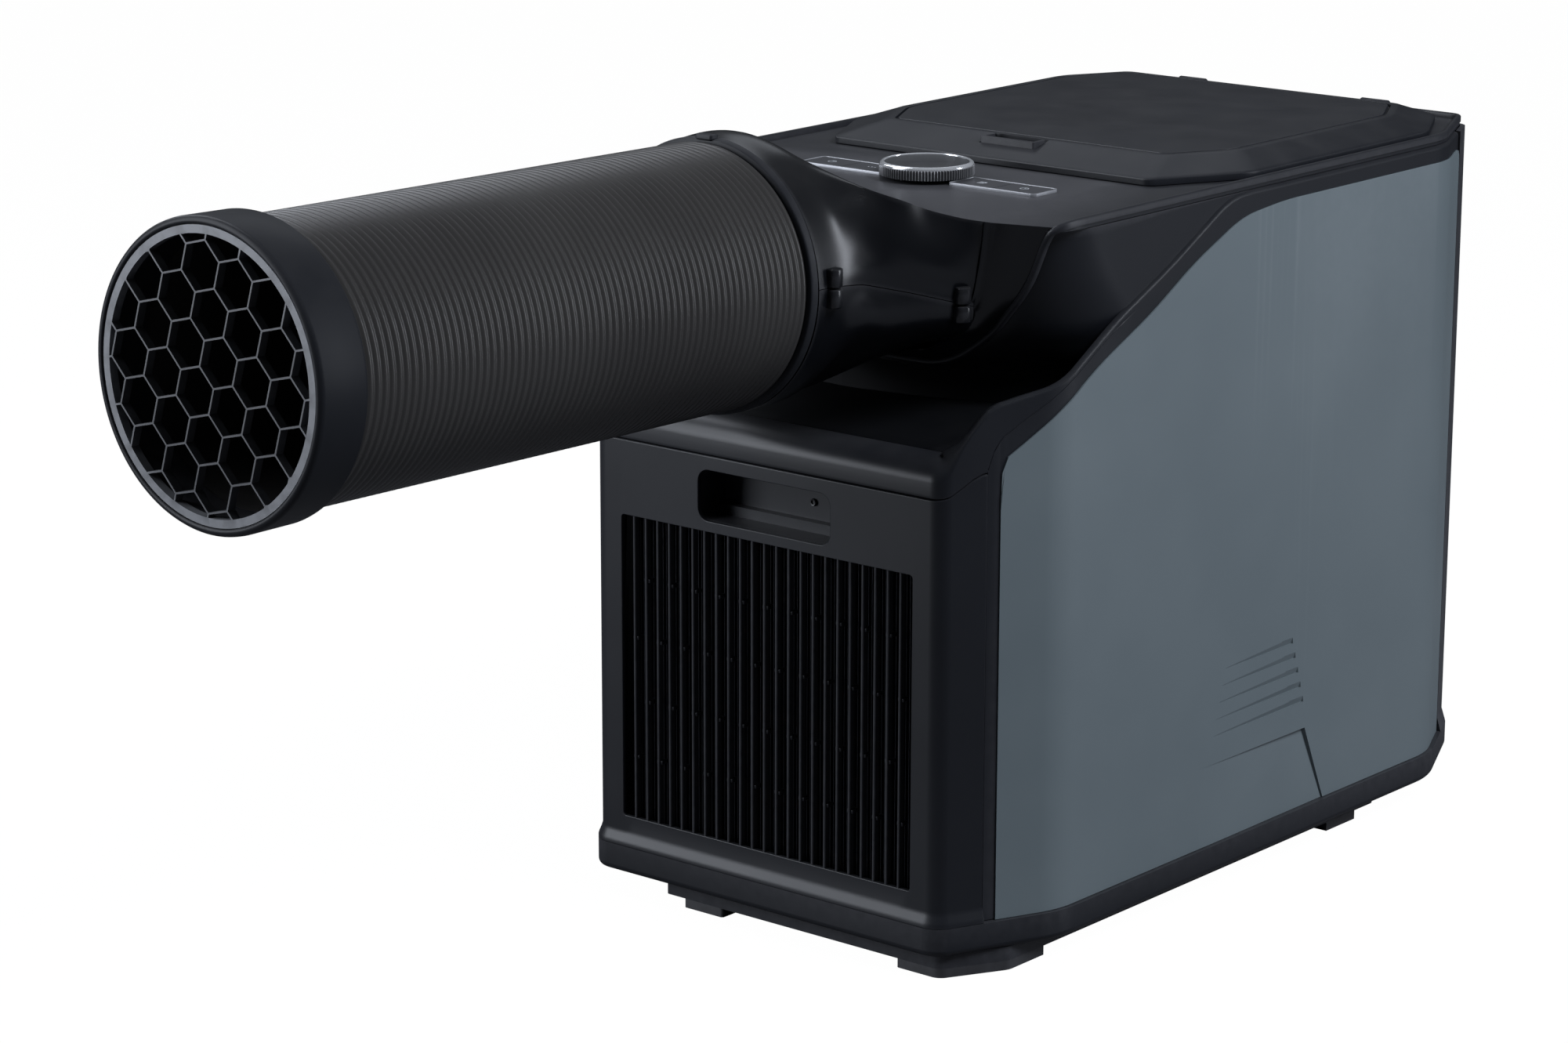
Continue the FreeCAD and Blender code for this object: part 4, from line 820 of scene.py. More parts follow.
# ---------------------------------------------------------------- mesh tools
@dataclass
class Workshop:
    """Makes mesh pieces, dresses them and hands them to the frame."""
    place: Place
    effects: Effects
    materials: dict[str, bpy.types.Material] = field(default_factory=dict)

    def finish(self, name: str) -> bpy.types.Material:
        """The material of a finish, built on first use."""
        if name not in self.materials:
            knob = self.place.at(0, KNOB_Y, 0)
            self.materials[name] = FINISHES[name].material(name, self.effects, (knob.x, knob.y))
        return self.materials[name]

    def mesh_object(self, name: str, points: Sequence[Vector],
                    faces: Sequence[Sequence[int]]) -> Piece:
        """A linked mesh object with its faces turned outwards.

        Args:
            name: Object name.
            points: Vertices in frame metres.
            faces: Vertex numbers of each face.

        Returns:
            The object.
        """
        mesh = bpy.data.meshes.new(name)
        mesh.from_pydata([tuple(p) for p in points], [], [tuple(f) for f in faces])
        piece = bpy.data.objects.new(name, mesh)
        bpy.context.scene.collection.objects.link(piece)
        work = bmesh.new()
        work.from_mesh(mesh)
        bmesh.ops.remove_doubles(work, verts=work.verts, dist=MERGE)
        bmesh.ops.recalc_face_normals(work, faces=work.faces)
        work.to_mesh(mesh)
        work.free()
        return piece

    def loft(self, name: str, loops: Sequence[Sequence[Sequence[float]]], closed: bool = True,
             ends: bool = True, ring: bool = False) -> Piece:
        """Skins a row of loops that all have the same number of points.

        Args:
            name: Object name.
            loops: Loops of points in millimetres.
            closed: Whether each loop closes on itself.
            ends: Whether the first and last loops are filled.
            ring: Whether the last loop joins the first.

        Returns:
            The object.
        """
        n = len(loops[0])
        points = [self.place.at(*p) for loop in loops for p in loop]
        faces: list[tuple[int, ...]] = []
        rows = len(loops)
        for i in range(rows if ring else rows - 1):
            a, b = i * n, ((i + 1) % rows) * n
            for k in range(n if closed else n - 1):
                j = (k + 1) % n
                faces.append((a + k, a + j, b + j, b + k))
        if ends and not ring:
            faces.append(tuple(range(n)))
            faces.append(tuple(reversed(range((rows - 1) * n, rows * n))))
        return self.mesh_object(name, points, faces)

    def revolve(self, name: str, profile: Sequence[Point2], base: Vector, axis: Vector,
                count: int = 128,
                wave: Optional[Callable[[float, float], float]] = None) -> Piece:
        """Turns a profile about an axis.

        Args:
            name: Object name.
            profile: Pairs of radius and distance along the axis, in millimetres.
            base: Point of the axis, in millimetres.
            axis: Direction of the axis.
            count: Steps round.
            wave: Optional change of radius by angle and radius.

        Returns:
            The object.
        """
        side = axis.orthogonal().normalized()
        other = axis.cross(side).normalized()
        loops = []
        for i in range(count):
            a = 2 * math.pi * i / count
            out = side * math.cos(a) + other * math.sin(a)
            loops.append([base + axis * d + out * (r + (wave(a, r) if wave else 0.0))
                          for r, d in profile])
        return self.loft(name, loops, ends=False, ring=True)

    def rounded_block(self, name: str, low: Point3, high: Point3, radius: float,
                      edge: float = 0.4) -> Piece:
        """A block with rounded upright corners and softened edges.

        Args:
            name: Object name.
            low: Lowest corner.
            high: Highest corner.
            radius: Radius of the upright corners.
            edge: Width of the softened edges.

        Returns:
            The object.
        """
        loops = []
        for d, z in ((edge, low[2]), (0, low[2] + edge), (0, high[2] - edge),
                     (edge * 0.3, high[2] - edge * 0.3), (edge, high[2])):
            x0, x1, y0, y1 = low[0] + d, high[0] - d, low[1] + d, high[1] - d
            outline = rounded_outline([(x0, y0), (x1, y0), (x1, y1), (x0, y1)],
                                      [max(radius - d, 0.05)] * 4)
            loops.append([(x, y, z) for x, y in outline])
        return self.loft(name, loops)

    def prism(self, name: str, outline: Sequence[Point2], plane: str, start: float,
              stop: float) -> Piece:
        """A straight prism over an outline, mostly for cutting.

        Args:
            name: Object name.
            outline: Outline points.
            plane: "xy" or "xz": the plane the outline lies in.
            start: First position along the remaining axis.
            stop: Second position along the remaining axis.

        Returns:
            The object.
        """
        flat = plane == "xy"
        return self.loft(name, [[(a, b, c) if flat else (a, c, b) for a, b in outline]
                                for c in (start, stop)])

    def carve(self, piece: Piece, cutters: Sequence[Piece],
              operation: str = "DIFFERENCE") -> None:
        """Applies boolean cuts and removes the cutters.

        Args:
            piece: Object that is cut.
            cutters: Objects that cut it.
            operation: Blender's name of the operation.
        """
        for cutter in cutters:
            step = piece.modifiers.new("cut", "BOOLEAN")
            step.operation = operation
            step.solver = "EXACT"
            step.object = cutter
        self.apply(piece)
        self.discard(cutters)

    @staticmethod
    def discard(parts: Sequence[Piece]) -> None:
        """Removes objects and their meshes.

        Args:
            parts: The objects.
        """
        for part in parts:
            data = part.data
            bpy.data.objects.remove(part)
            bpy.data.meshes.remove(data)

    @staticmethod
    def apply(piece: Piece) -> None:
        """Makes a piece's modifiers part of its mesh.

        Args:
            piece: The piece.
        """
        bpy.context.view_layer.update()
        graph = bpy.context.evaluated_depsgraph_get()
        mesh = bpy.data.meshes.new_from_object(piece.evaluated_get(graph))
        piece.modifiers.clear()
        piece.data = mesh

    def join(self, name: str, parts: Sequence[Piece]) -> Piece:
        """Puts several meshes into one object.

        Args:
            name: Name of the joined object.
            parts: The objects, which are removed.

        Returns:
            The joined object.
        """
        work = bmesh.new()
        for part in parts:
            work.from_mesh(part.data)
        mesh = bpy.data.meshes.new(name)
        work.to_mesh(mesh)
        work.free()
        self.discard(parts)
        piece = bpy.data.objects.new(name, mesh)
        bpy.context.scene.collection.objects.link(piece)
        return piece

    def dress(self, piece: Piece, finish: str, body: Body,
              nodes: Sequence[str] = (), soften: float = 0.0, sharp: float = 32.0,
              segments: int = 2, even: bool = False) -> Piece:
        """Smooths, softens, colours and mounts a piece.

        Args:
            piece: The piece.
            finish: Name of its finish.
            body: Body that it rides on.
            nodes: CAD nodes that it stands for.
            soften: Width of its softened edges in millimetres, 0 for none.
            sharp: Angle in degrees above which an edge stays crisp.
            segments: Steps of the softened edges.
            even: Whether large faces set the shading near their edges.

        Returns:
            The piece.
        """
        piece.data.materials.clear()
        piece.data.materials.append(self.finish(finish))
        for face in piece.data.polygons:
            face.use_smooth = True
        if soften > 0:
            self.soften(piece, soften, segments)
        piece.data.set_sharp_from_angle(angle=math.radians(sharp))
        if even:
            step = piece.modifiers.new("even_shading", "WEIGHTED_NORMAL")
            step.keep_sharp = True
            step.weight = 90
        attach(piece, body.value)
        if nodes:
            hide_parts(*nodes)
        log.info("piece %s: %d faces, rides on %s", piece.name, len(piece.data.polygons),
                 body.value)
        return piece

    @staticmethod
    def soften(piece: Piece, width: float, segments: int = 2,
               angle: float = 32.0) -> None:
        """Adds a bevel modifier that rounds crisp edges.

        Args:
            piece: The piece.
            width: Width in millimetres.
            segments: Steps of the rounding.
            angle: Edges that turn more than this are rounded.
        """
        step = piece.modifiers.new("softened_edges", "BEVEL")
        step.width = width * MM
        step.segments = segments
        step.limit_method = "ANGLE"
        step.angle_limit = math.radians(angle)
        step.use_clamp_overlap = True
        step.harden_normals = True


def mirror_rows(rows: Sequence[Row]
                ) -> list[Row]:
    """A right-hand walk joined to its mirror image, left end first.

    Args:
        rows: Rows of the right half.

    Returns:
        Rows of both halves.
    """
    left = [(-x, y, -nx, ny) for x, y, nx, ny in reversed(rows)]
    if abs(rows[0][0]) < 1e-6:
        left = left[:-1]
    return left + list(rows)


def offset_loop(row: Row,
                section: Sequence[Point2]) -> list[Point3]:
    """A section of (inset, z) pairs stood up at one point of the plan outline.

    Args:
        row: Plan point and its outward normal.
        section: Pairs of inward distance and height.

    Returns:
        Points in millimetres.
    """
    x, y, nx, ny = row
    return [(x - nx * d, y - ny * d, z) for d, z in section]


# ---------------------------------------------------------------- cabinet
@dataclass
class CabinetShell:
    """Front panel, grey side panels, black lip, cheeks and the well in front of the head."""
    shop: Workshop
    plan: Plan = field(default_factory=Plan)
    panel_z: float = 31.0
    seam_z: float = 279.5
    wall: float = 3.0
    strip_y: float = 27.0
    panel_edge_y: float = 34.6
    rear_edge: float = 28.3
    side_wall: float = 156.3
    grey_top: tuple[Point2, ...] = (
        (34.6, 277.0), (35.1, 291.0), (38.5, 300.0), (47.7, 306.5), (76.5, 328.0), (101.0, 342.5),
        (152.0, 365.0), (194.0, 388.0), (242.0, 408.0), (286.0, 411.8), (560.0, 411.8))
    lip_top: tuple[Point2, ...] = (
        (0.0, 302.0), (6.0, 303.0), (14.0, 311.0), (22.0, 322.0), (30.0, 329.5), (46.0, 333.0),
        (69.7, 338.0), (119.7, 366.8), (171.4, 390.0), (228.8, 420.0), (244.0, 422.0),
        (560.0, 422.0))

    def build(self) -> None:
        """Builds every piece of the shell."""
        self.front_panel()
        for side in Side:
            self.side_panel(side)
        self.lip()
        self.cheeks()
        self.well()

    def front_panel(self) -> None:
        """The black front with its flared foot, grille opening and finger recess."""
        rows = mirror_rows(self.plan.span(0, self.strip_y))
        seam = self.seam_z
        loops = []
        for row in rows:
            top = seam - 0.4 + (12.5 * ease(row[1] / self.strip_y) if row[1] > 0.5 else 0.0)
            outer = [(-2.7, self.panel_z), (-2.7, 33.0), (-2.2, 34.6), (-0.9, 37.6), (0.0, 40.5),
                     (0.0, top - 0.9), (0.25, top - 0.25), (0.9, top)]
            inner = [(self.wall, top), (self.wall, self.panel_z)]
            loops.append(offset_loop(row, outer + inner))
        panel = self.shop.loft("front_panel", loops)
        slot = rounded_outline([(-108, 49.6), (108, 49.6), (108, 234), (-108, 234)], [2.0] * 4)
        cup = rounded_outline([(-49, 240.3), (49, 240.3), (49, 270.6), (-49, 270.6)], [7.5] * 4)
        self.shop.carve(panel, [self.shop.prism("cut_a", slot, "xz", -8, 12),
                                self.shop.prism("cut_b", cup, "xz", -8, 12)])
        self.shop.dress(panel, "black_shell", Body.CABINET, ["front_panel"], soften=0.6, even=True)

    def grey_top_at(self, y: float) -> float:
        """Height of the grey panel's edge at a depth."""
        return along_table(self.grey_top, y)

    def side_panel(self, side: Side) -> None:
        """One grey panel: cut flat from a strip, then wrapped round the plan outline.

        Args:
            side: Which side of the cabinet.
        """
        rows = self.plan.span(self.panel_edge_y, self.plan.depth - self.rear_edge)
        reach = [0.0]
        for a, b in zip(rows, rows[1:]):
            reach.append(reach[-1] + math.hypot(b[0] - a[0], b[1] - a[1]))
        total = reach[-1]

        def at_depth(y: float) -> float:
            """Distance along the wall at a depth."""
            return along_table([(r[1], s) for r, s in zip(rows, reach)], y)

        slab = self.shop.loft("side_panel_" + side.name.lower(), [
            [(s, -2.6, self.panel_z + 0.2), (s, 0.0, self.panel_z + 0.2), (s, 0.0, 440.0),
             (s, -2.6, 440.0)] for s in reach])
        edge = [(at_depth(y), self.smooth_grey(y)) for y in
                [self.panel_edge_y + 0.02 + 0.5 * i for i in range(30)]
                + [50 + 3.0 * i for i in range(84)]]
        rear = total - 0.02
        top = self.grey_top[-1][1]
        outline = [(0.02, self.panel_z + 0.22), (0.02, 279.0), *edge, (rear - 9.0, top),
                   (rear - 4.2, top - 1.0), (rear - 1.2, top - 4.0), (rear, top - 9.0),
                   (rear, self.panel_z + 0.22)]
        keep = self.shop.prism("outline", outline, "xz", -6, 6)
        self.shop.carve(slab, [keep], "INTERSECT")
        self.shop.soften(slab, 1.1, 3, 34.0)
        self.shop.apply(slab)
        self.shop.carve(slab, self.louvres(at_depth))
        for vertex in slab.data.vertices:
            s = vertex.co.x * 1000
            depth = (vertex.co.y - self.shop.place.face_y) * 1000
            s = min(max(s, 0.0), total)
            j = next((i for i in range(len(reach) - 1) if reach[i + 1] >= s), len(reach) - 2)
            t = (s - reach[j]) / (reach[j + 1] - reach[j])
            x, y, nx, ny = (blend(p, q, t) for p, q in zip(rows[j], rows[j + 1]))
            vertex.co = self.shop.place.at(side.value * (x + nx * depth), y + ny * depth,
                                           vertex.co.z * 1000)
        if side is Side.LEFT:
            slab.data.flip_normals()
        self.shop.dress(slab, "grey_panel", Body.CABINET, ["side_panel_" + side.name.lower()],
                        sharp=9, even=True)

    def smooth_grey(self, y: float) -> float:
        """Grey panel edge with its facets smoothed out away from the front corner."""
        if y < 50:
            return self.grey_top_at(y)
        return smooth_table(self.grey_top, y, min(26.0, (y - 50) * 0.9 + 1.0))

    def louvres(self, at_depth: Callable[[float], float]) -> list[Piece]:
        """Cutters for five tapering louvres and the shallow relief below them.

        Args:
            at_depth: Distance along the wall at a depth.

        Returns:
            The cutters.
        """
        cutters = []
        for i in range(5):
            z = 98.2 + 9.9 * i
            s0 = at_depth(214.0 + 3.4 * i)
            s1 = at_depth(320.0 - 3.3 * i)
            low = [(s0, 0.12, z - 0.1), (s1, -1.25, z - 0.1), (s1 + 0.8, 0.12, z - 0.1)]
            mid = [(s0, 0.12, z + 0.3), (s1, -1.1, z + 0.3), (s1 + 0.7, 0.12, z + 0.3)]
            high = [(s0, 0.12, z + 3.6), (s1, -0.02, z + 3.6), (s1 + 0.2, 0.12, z + 3.6)]
            cutters.append(self.shop.loft("louvre", [low, mid, high]))
        s0, s1, s2 = at_depth(205.0), at_depth(322.0), at_depth(346.0)
        top = [(s0, 0.15, 81.0), (s1, -2.3, 81.0), (s1 + 1.2, 0.15, 81.0)]
        foot = [(s0, 0.15, 29.0), (s2, -0.9, 29.0), (s2 + 0.8, 0.15, 29.0)]
        cutters.append(self.shop.loft("relief", [foot, top]))
        return cutters

    def groove_z(self, y: float) -> float:
        """Height of the fine line that sets the trim strip off from the shell above it."""
        line = ((27.3, 291.0), (28.5, 299.0), (32.0, 307.0), (38.0, 313.5), (47.0, 318.5),
                (76.5, 338.0), (110.0, 357.0), (150.0, 375.0))
        return smooth_table(line, y, 3.0 if y < 40 else 16.0)

    def lip(self) -> None:
        """Black band between the front and the grey panels, rising along their slope."""
        extra = [27.2, 27.4, 34.2, 34.4, 36.0, 40.0, 45.0, self.plan.depth - 40]
        rows = mirror_rows(self.plan.span(0, self.plan.depth - 28, extra))
        loops = []
        for row in rows:
            y = row[1]
            out = 1.2 * ease((y - 8.0) / 40.0)
            top = smooth_table(self.lip_top, y, 2.0 if y < 12 else 9.0 if y < 40 else 22.0)
            if y < 27.3:
                bottom = self.seam_z + 0.2 + (12.5 * ease(y / self.strip_y) if y > 0.5 else 0.0)
            elif y < 34.3:
                bottom = self.panel_z + 0.3
            else:
                bottom = min(self.smooth_grey(y), self.grey_top[-1][1]) - 5.0
                bottom -= 11.0 * ease((y - self.plan.depth + 60.0) / 18.0)
            crest = blend(17.0, 2.6, ease((y - 0.2) / 16.0))
            inner = blend(blend(21.0, 9.0, ease(y / 12.0)), 3.2, ease((y - 44.0) / 30.0))
            drop = 26.0 if y < 66 else blend(26.0, 8.0, ease((y - 66) / 10))
            rise = min(crest * 0.8 if crest > 2.7 else crest, top - bottom - 4.0)
            section = [(out + 0.7, bottom), (out + 0.2, bottom + 0.2), (out, bottom + 0.7)]
            line = min(self.groove_z(y), top - rise - 1.6) if y > 27.3 else bottom + 2.6
            deep = 0.45 * (1 - ease((y - 112.0) / 26.0)) if y > 27.3 else 0.0
            line = max(line, bottom + 2.2)
            section += [(out, line - 0.5), (out + deep, line - 0.2), (out + deep, line + 0.1),
                        (out, line + 0.45)]
            for k in range(7):
                a = math.pi / 2 * k / 6
                section.append((out + crest * (1 - math.cos(a)),
                                top - rise * (1 - math.sin(a))))
            fall = max(inner - crest, 0.6)
            for k in range(1, 5):
                a = math.pi / 2 * k / 4
                section.append((out + crest + fall * math.sin(a),
                                top - min(fall, 7.0) * (1 - math.cos(a))))
            section.append((out + crest + fall, top - drop))
            section.append((out + crest + fall + 1.5, top - drop))
            section.append((out + crest + fall + 1.5, bottom + 1.0 if y > 34.3 else top - drop - 1))
            section.append((out + 2.6, bottom + 0.4))
            loops.append(offset_loop(row, section))
        piece = self.shop.loft("shoulder_lip", loops)
        self.shop.dress(piece, "black_shell", Body.CABINET,
                        ["side_trim_left", "side_trim_right", "upper_housing"], sharp=42,
                        even=True)

    def head_reach(self, z: float) -> float:
        """Half-width of the head's edge at a height; the wall behind it starts there."""
        line = ((330.0, 0.0), (338.0, 40.0), (341.0, 74.0), (351.5, 98.1), (361.4, 110.7),
                (374.0, 121.5), (383.9, 129.6), (393.8, 135.9), (403.7, 140.4), (414.5, 144.9),
                (421.7, 148.5), (430.0, 150.0))
        return along_table(line, z)

    @staticmethod
    def bend(start: float, wall: float, near: float, deep: float, turn: float) -> Point2:
        """Plan point on the bend from the wall behind the head out to the side wall.

        Args:
            start: Where the bend leaves the wall behind the head.
            wall: Half-width of the side wall.
            near: Depth of the wall behind the head.
            deep: How far back the bend reaches.
            turn: Angle along the bend, from 0 to a quarter turn.

        Returns:
            The point's x and y.
        """
        return (start + (wall - start) * math.sin(turn) ** 0.9,
                near + deep * (1 - math.cos(turn)) ** 0.85)

    def cheeks(self) -> None:
        """Upright walls above the lip that bend smoothly into the wall behind the head."""
        heights = [blend(300.0, 421.9, i / 22) for i in range(23)]
        columns: list[list[Point3]] = []
        for k in range(25):
            column = []
            for z in heights:
                start = max(self.head_reach(z) - 7.0, 0.0)
                deep = min(18.0 + (self.side_wall - start) * 1.05, 92.0)
                column.append((*self.bend(start, self.side_wall, 71.6, deep,
                                          math.pi / 2 * k / 24), z))
            columns.append(column)
        for x, y, nx, ny in self.plan.span(172, self.plan.depth - 30):
            low = max(smooth_table(self.lip_top, y, 20) - 14.0, 300.0)
            columns.append([(x - nx * 3.2, y - ny * 3.2, blend(low, 421.9, i / 22))
                            for i in range(23)])
        for side in Side:
            loops = [[(side.value * x, y, z) for x, y, z in column] for column in columns]
            piece = self.shop.loft("cheek_" + side.name.lower(), loops, closed=False, ends=False)
            thick = piece.modifiers.new("wall", "SOLIDIFY")
            thick.thickness = 2.2 * MM
            thick.offset = -1.0
            self.shop.apply(piece)
            self.shop.dress(piece, "black_shell", Body.CABINET, sharp=60)

    def well(self) -> None:
        """Sloping floor, curved back walls and back plate of the hollow in front of the head, in a
        near-black with little sheen: painted shade, standing where the hollow lies in shadow.
        """
        loops = []
        for x, y, nx, ny in self.plan.span(3, 168):
            inner = max(x - nx * 9.0, 0.5)
            z = 296.5 + min(max(y - 4, 0), 68.0) * 0.27
            ys = y - ny * 6.0 if y < 20 else y
            loops.append([(inner * t, ys, z - 1.5 * t ** 2)
                          for t in (k / 8 * 2 - 1 for k in range(9))])
        under = [[(x, y, z - 2.4) for x, y, z in reversed(loop)] for loop in loops]
        piece = self.shop.loft("well_floor", [a + b for a, b in zip(loops, under)])
        self.shop.dress(piece, "painted_shade_black", Body.CABINET, sharp=50)
        plan = [self.bend(0.0, self.side_wall, 70.4, 92.0, math.pi / 2 * k / 24)
                for k in range(19)]
        for side in Side:
            piece = self.shop.loft("well_wall_" + side.name.lower(),
                                   [[(side.value * x, y, 300.0 + 7.0 * i) for i in range(7)]
                                    for x, y in plan], closed=False, ends=False)
            self.shop.dress(piece, "painted_shade_black", Body.CABINET, sharp=60)
        back = self.shop.rounded_block("well_back_wall", (-60, 77.0, 336), (60, 79.0, 354), 1.0,
                                       0.4)
        self.shop.dress(back, "painted_shade_black", Body.CABINET, sharp=50)


@dataclass
class FrontGrille:
    """Upright louvre bars, tie nubs and the finned coil behind them."""
    shop: Workshop
    pitch: float = 9.0
    bars: int = 23
    bar: float = 1.8
    z0: float = 48.5
    z1: float = 235.0

    def build(self) -> None:
        """Builds the bars and the coil."""
        parts = []
        for i in range(self.bars):
            x = (i - (self.bars - 1) / 2) * self.pitch
            outline = rounded_outline([(x - self.bar / 2, 0.6), (x + self.bar / 2, 0.6),
                                       (x + self.bar / 2, 5.0), (x - self.bar / 2, 5.0)],
                                      [0.75, 0.75, 0.3, 0.3], 3)
            parts.append(self.shop.prism("bar", outline, "xy", self.z0, self.z1))
            for z in self.nub_heights(i):
                parts.append(self.shop.rounded_block("nub", (x - 2.2, 1.8, z - 1.2),
                                                     (x + 2.2, 7.2, z + 1.2), 0.8, 0.4))
        bars = self.shop.join("grille_bars", parts)
        self.shop.dress(bars, "black_shell", Body.CABINET, ["front_grille"], sharp=50)
        self.recess_screw()
        self.coil()

    @staticmethod
    def nub_heights(index: int) -> list[float]:
        """Heights of the tie nubs on one bar, staggered from bar to bar."""
        return [87.0, 160.0] if index % 2 == 0 else [122.0, 196.0]

    def recess_screw(self) -> None:
        """Small countersunk screw in the back of the finger recess."""
        ring = self.shop.revolve("recess_screw", [(0.01, 1.1), (1.2, 1.1), (1.25, 0.25),
                                                  (1.9, 0.1), (2.2, 0.5), (2.3, 1.2),
                                                  (0.01, 1.2)],
                                 Vector((17.0, 23.4, 256.5)), Vector((0, 1, 0)), 28)
        self.shop.dress(ring, "black_steel", Body.CABINET, sharp=30)

    def coil(self) -> None:
        """Thin upright fins with round tubes across them."""
        parts = []
        count = 86
        for i in range(count):
            x = blend(-105.5, 105.5, i / (count - 1))
            lean = 0.25 * math.sin(i * 12.9898)
            parts.append(self.shop.prism("fin", [(x - 0.14, 11.2), (x + 0.14, 11.2),
                                                 (x + 0.14 + lean, 36.5),
                                                 (x - 0.14 + lean, 36.5)], "xy", 17.5, 235.5))
        fins = self.shop.join("coil_fins", parts)
        self.shop.dress(fins, "fins", Body.CABINET, ["condenser_coil"], sharp=50)
        tubes = []
        for i in range(9):
            z = 28.0 + 24.5 * i
            for y in (17.5, 30.5):
                tubes.append(self.shop.revolve("tube", [(3.6, 0), (3.6, 212), (2.9, 212),
                                                        (2.9, 0)], Vector((-106, y, z)),
                                               Vector((1, 0, 0)), 18))
        pipe = self.shop.join("coil_tubes", tubes)
        self.shop.dress(pipe, "copper", Body.CABINET, sharp=50)


# ---------------------------------------------------------------- duct
@dataclass
class ColdAirDuct:
    """Collar, ribbed hose and outlet ring, all turned about the duct's slightly raised axis."""
    shop: Workshop
    tilt: float = 0.9
    mouth_y: float = -44.0
    collar: float = 6.0
    hose_radius: float = 75.0
    hose_length: float = 345.0
    ribs: int = 68
    ring_length: float = 33.0

    @property
    def along(self) -> Vector:
        """Unit vector that the duct follows away from the cabinet."""
        a = math.radians(self.tilt)
        return Vector((0, -math.cos(a), math.sin(a)))

    def build(self) -> None:
        """Builds the three turned pieces."""
        lean = MOUTH_RADIUS * math.sin(math.radians(self.tilt)) + 0.3
        base = Vector((0, self.mouth_y, DUCT_Z)) + self.along * lean
        self.collar_ring(base)
        hose = base + self.along * (self.collar + 0.3)
        self.hose(hose)
        self.outlet(hose + self.along * (self.hose_length - 6.0))

    def collar_ring(self, base: Vector) -> None:
        """Short black collar with a small catch on top.

        Args:
            base: Rear end of the collar on the duct axis.
        """
        profile = [(68.8, 0), (76.9, 0), (77.4, 0.5), (77.4, 4.9), (77.1, 5.6), (76.4, 6.0),
                   (71.4, 6.0), (71.4, 12.0), (68.8, 12.0)]
        ring = self.shop.revolve("duct_collar_ring", profile, base, self.along, 144)
        catch = self.shop.rounded_block("catch", (-6, -3.2, -0.5), (6, 3.2, 2.8), 1.5, 0.8)
        turn = Matrix.Rotation(math.radians(-self.tilt), 4, "X")
        top = self.shop.place.at(*(base + self.along * 3.0 + Vector((0, 0, 76.4))))
        home = self.shop.place.at(0, 0, 0)
        for vertex in catch.data.vertices:
            vertex.co = top + turn @ (vertex.co - home)
        piece = self.shop.join("duct_collar_ring", [ring, catch])
        self.shop.dress(piece, "ring_black", Body.DUCT, ["duct_collar"], sharp=40)

    def hose(self, base: Vector) -> None:
        """The hose wall with one rib after another.

        Args:
            base: Rear end of the hose on the duct axis.
        """
        profile: list[Point2] = []
        steps = self.ribs * 8
        for i in range(steps + 1):
            d = self.hose_length * i / steps
            phase = (i % 8) / 8
            height = 0.5 - 0.5 * math.cos(2 * math.pi * phase)
            profile.append((self.hose_radius - 1.3 + 1.3 * height ** 0.7, d))
        inner = self.hose_radius - 3.2
        for i in range(self.ribs * 2, -1, -1):
            d = self.hose_length * i / (self.ribs * 2)
            profile.append((inner + (0.7 if i % 2 else 0.0), d))
        hose = self.shop.revolve("ribbed_hose", profile, base, self.along, 120)
        self.shop.dress(hose, "graphite_hose", Body.DUCT, ["duct_hose"], sharp=80)

    def outlet(self, base: Vector) -> None:
        """The outlet ring with its rounded lip.

        Args:
            base: Rear end of the ring on the duct axis.
        """
        n = self.ring_length
        profile = [(75.3, 0), (78.5, 0), (79.2, 0.7), (79.5, 2.0), (79.9, n - 3.4),
                   (79.7, n - 1.9), (79.0, n - 0.8), (77.8, n - 0.1), (76.7, n), (75.9, n - 0.4),
                   (75.5, n - 1.2), (75.5, n - 6.2), (71.5, n - 6.2), (71.5, 6.4), (75.3, 6.4)]
        ring = self.shop.revolve("outlet_ring_shell", profile, base, self.along, 160)
        self.shop.dress(ring, "ring_black", Body.DUCT, ["outlet_ring"], sharp=40)


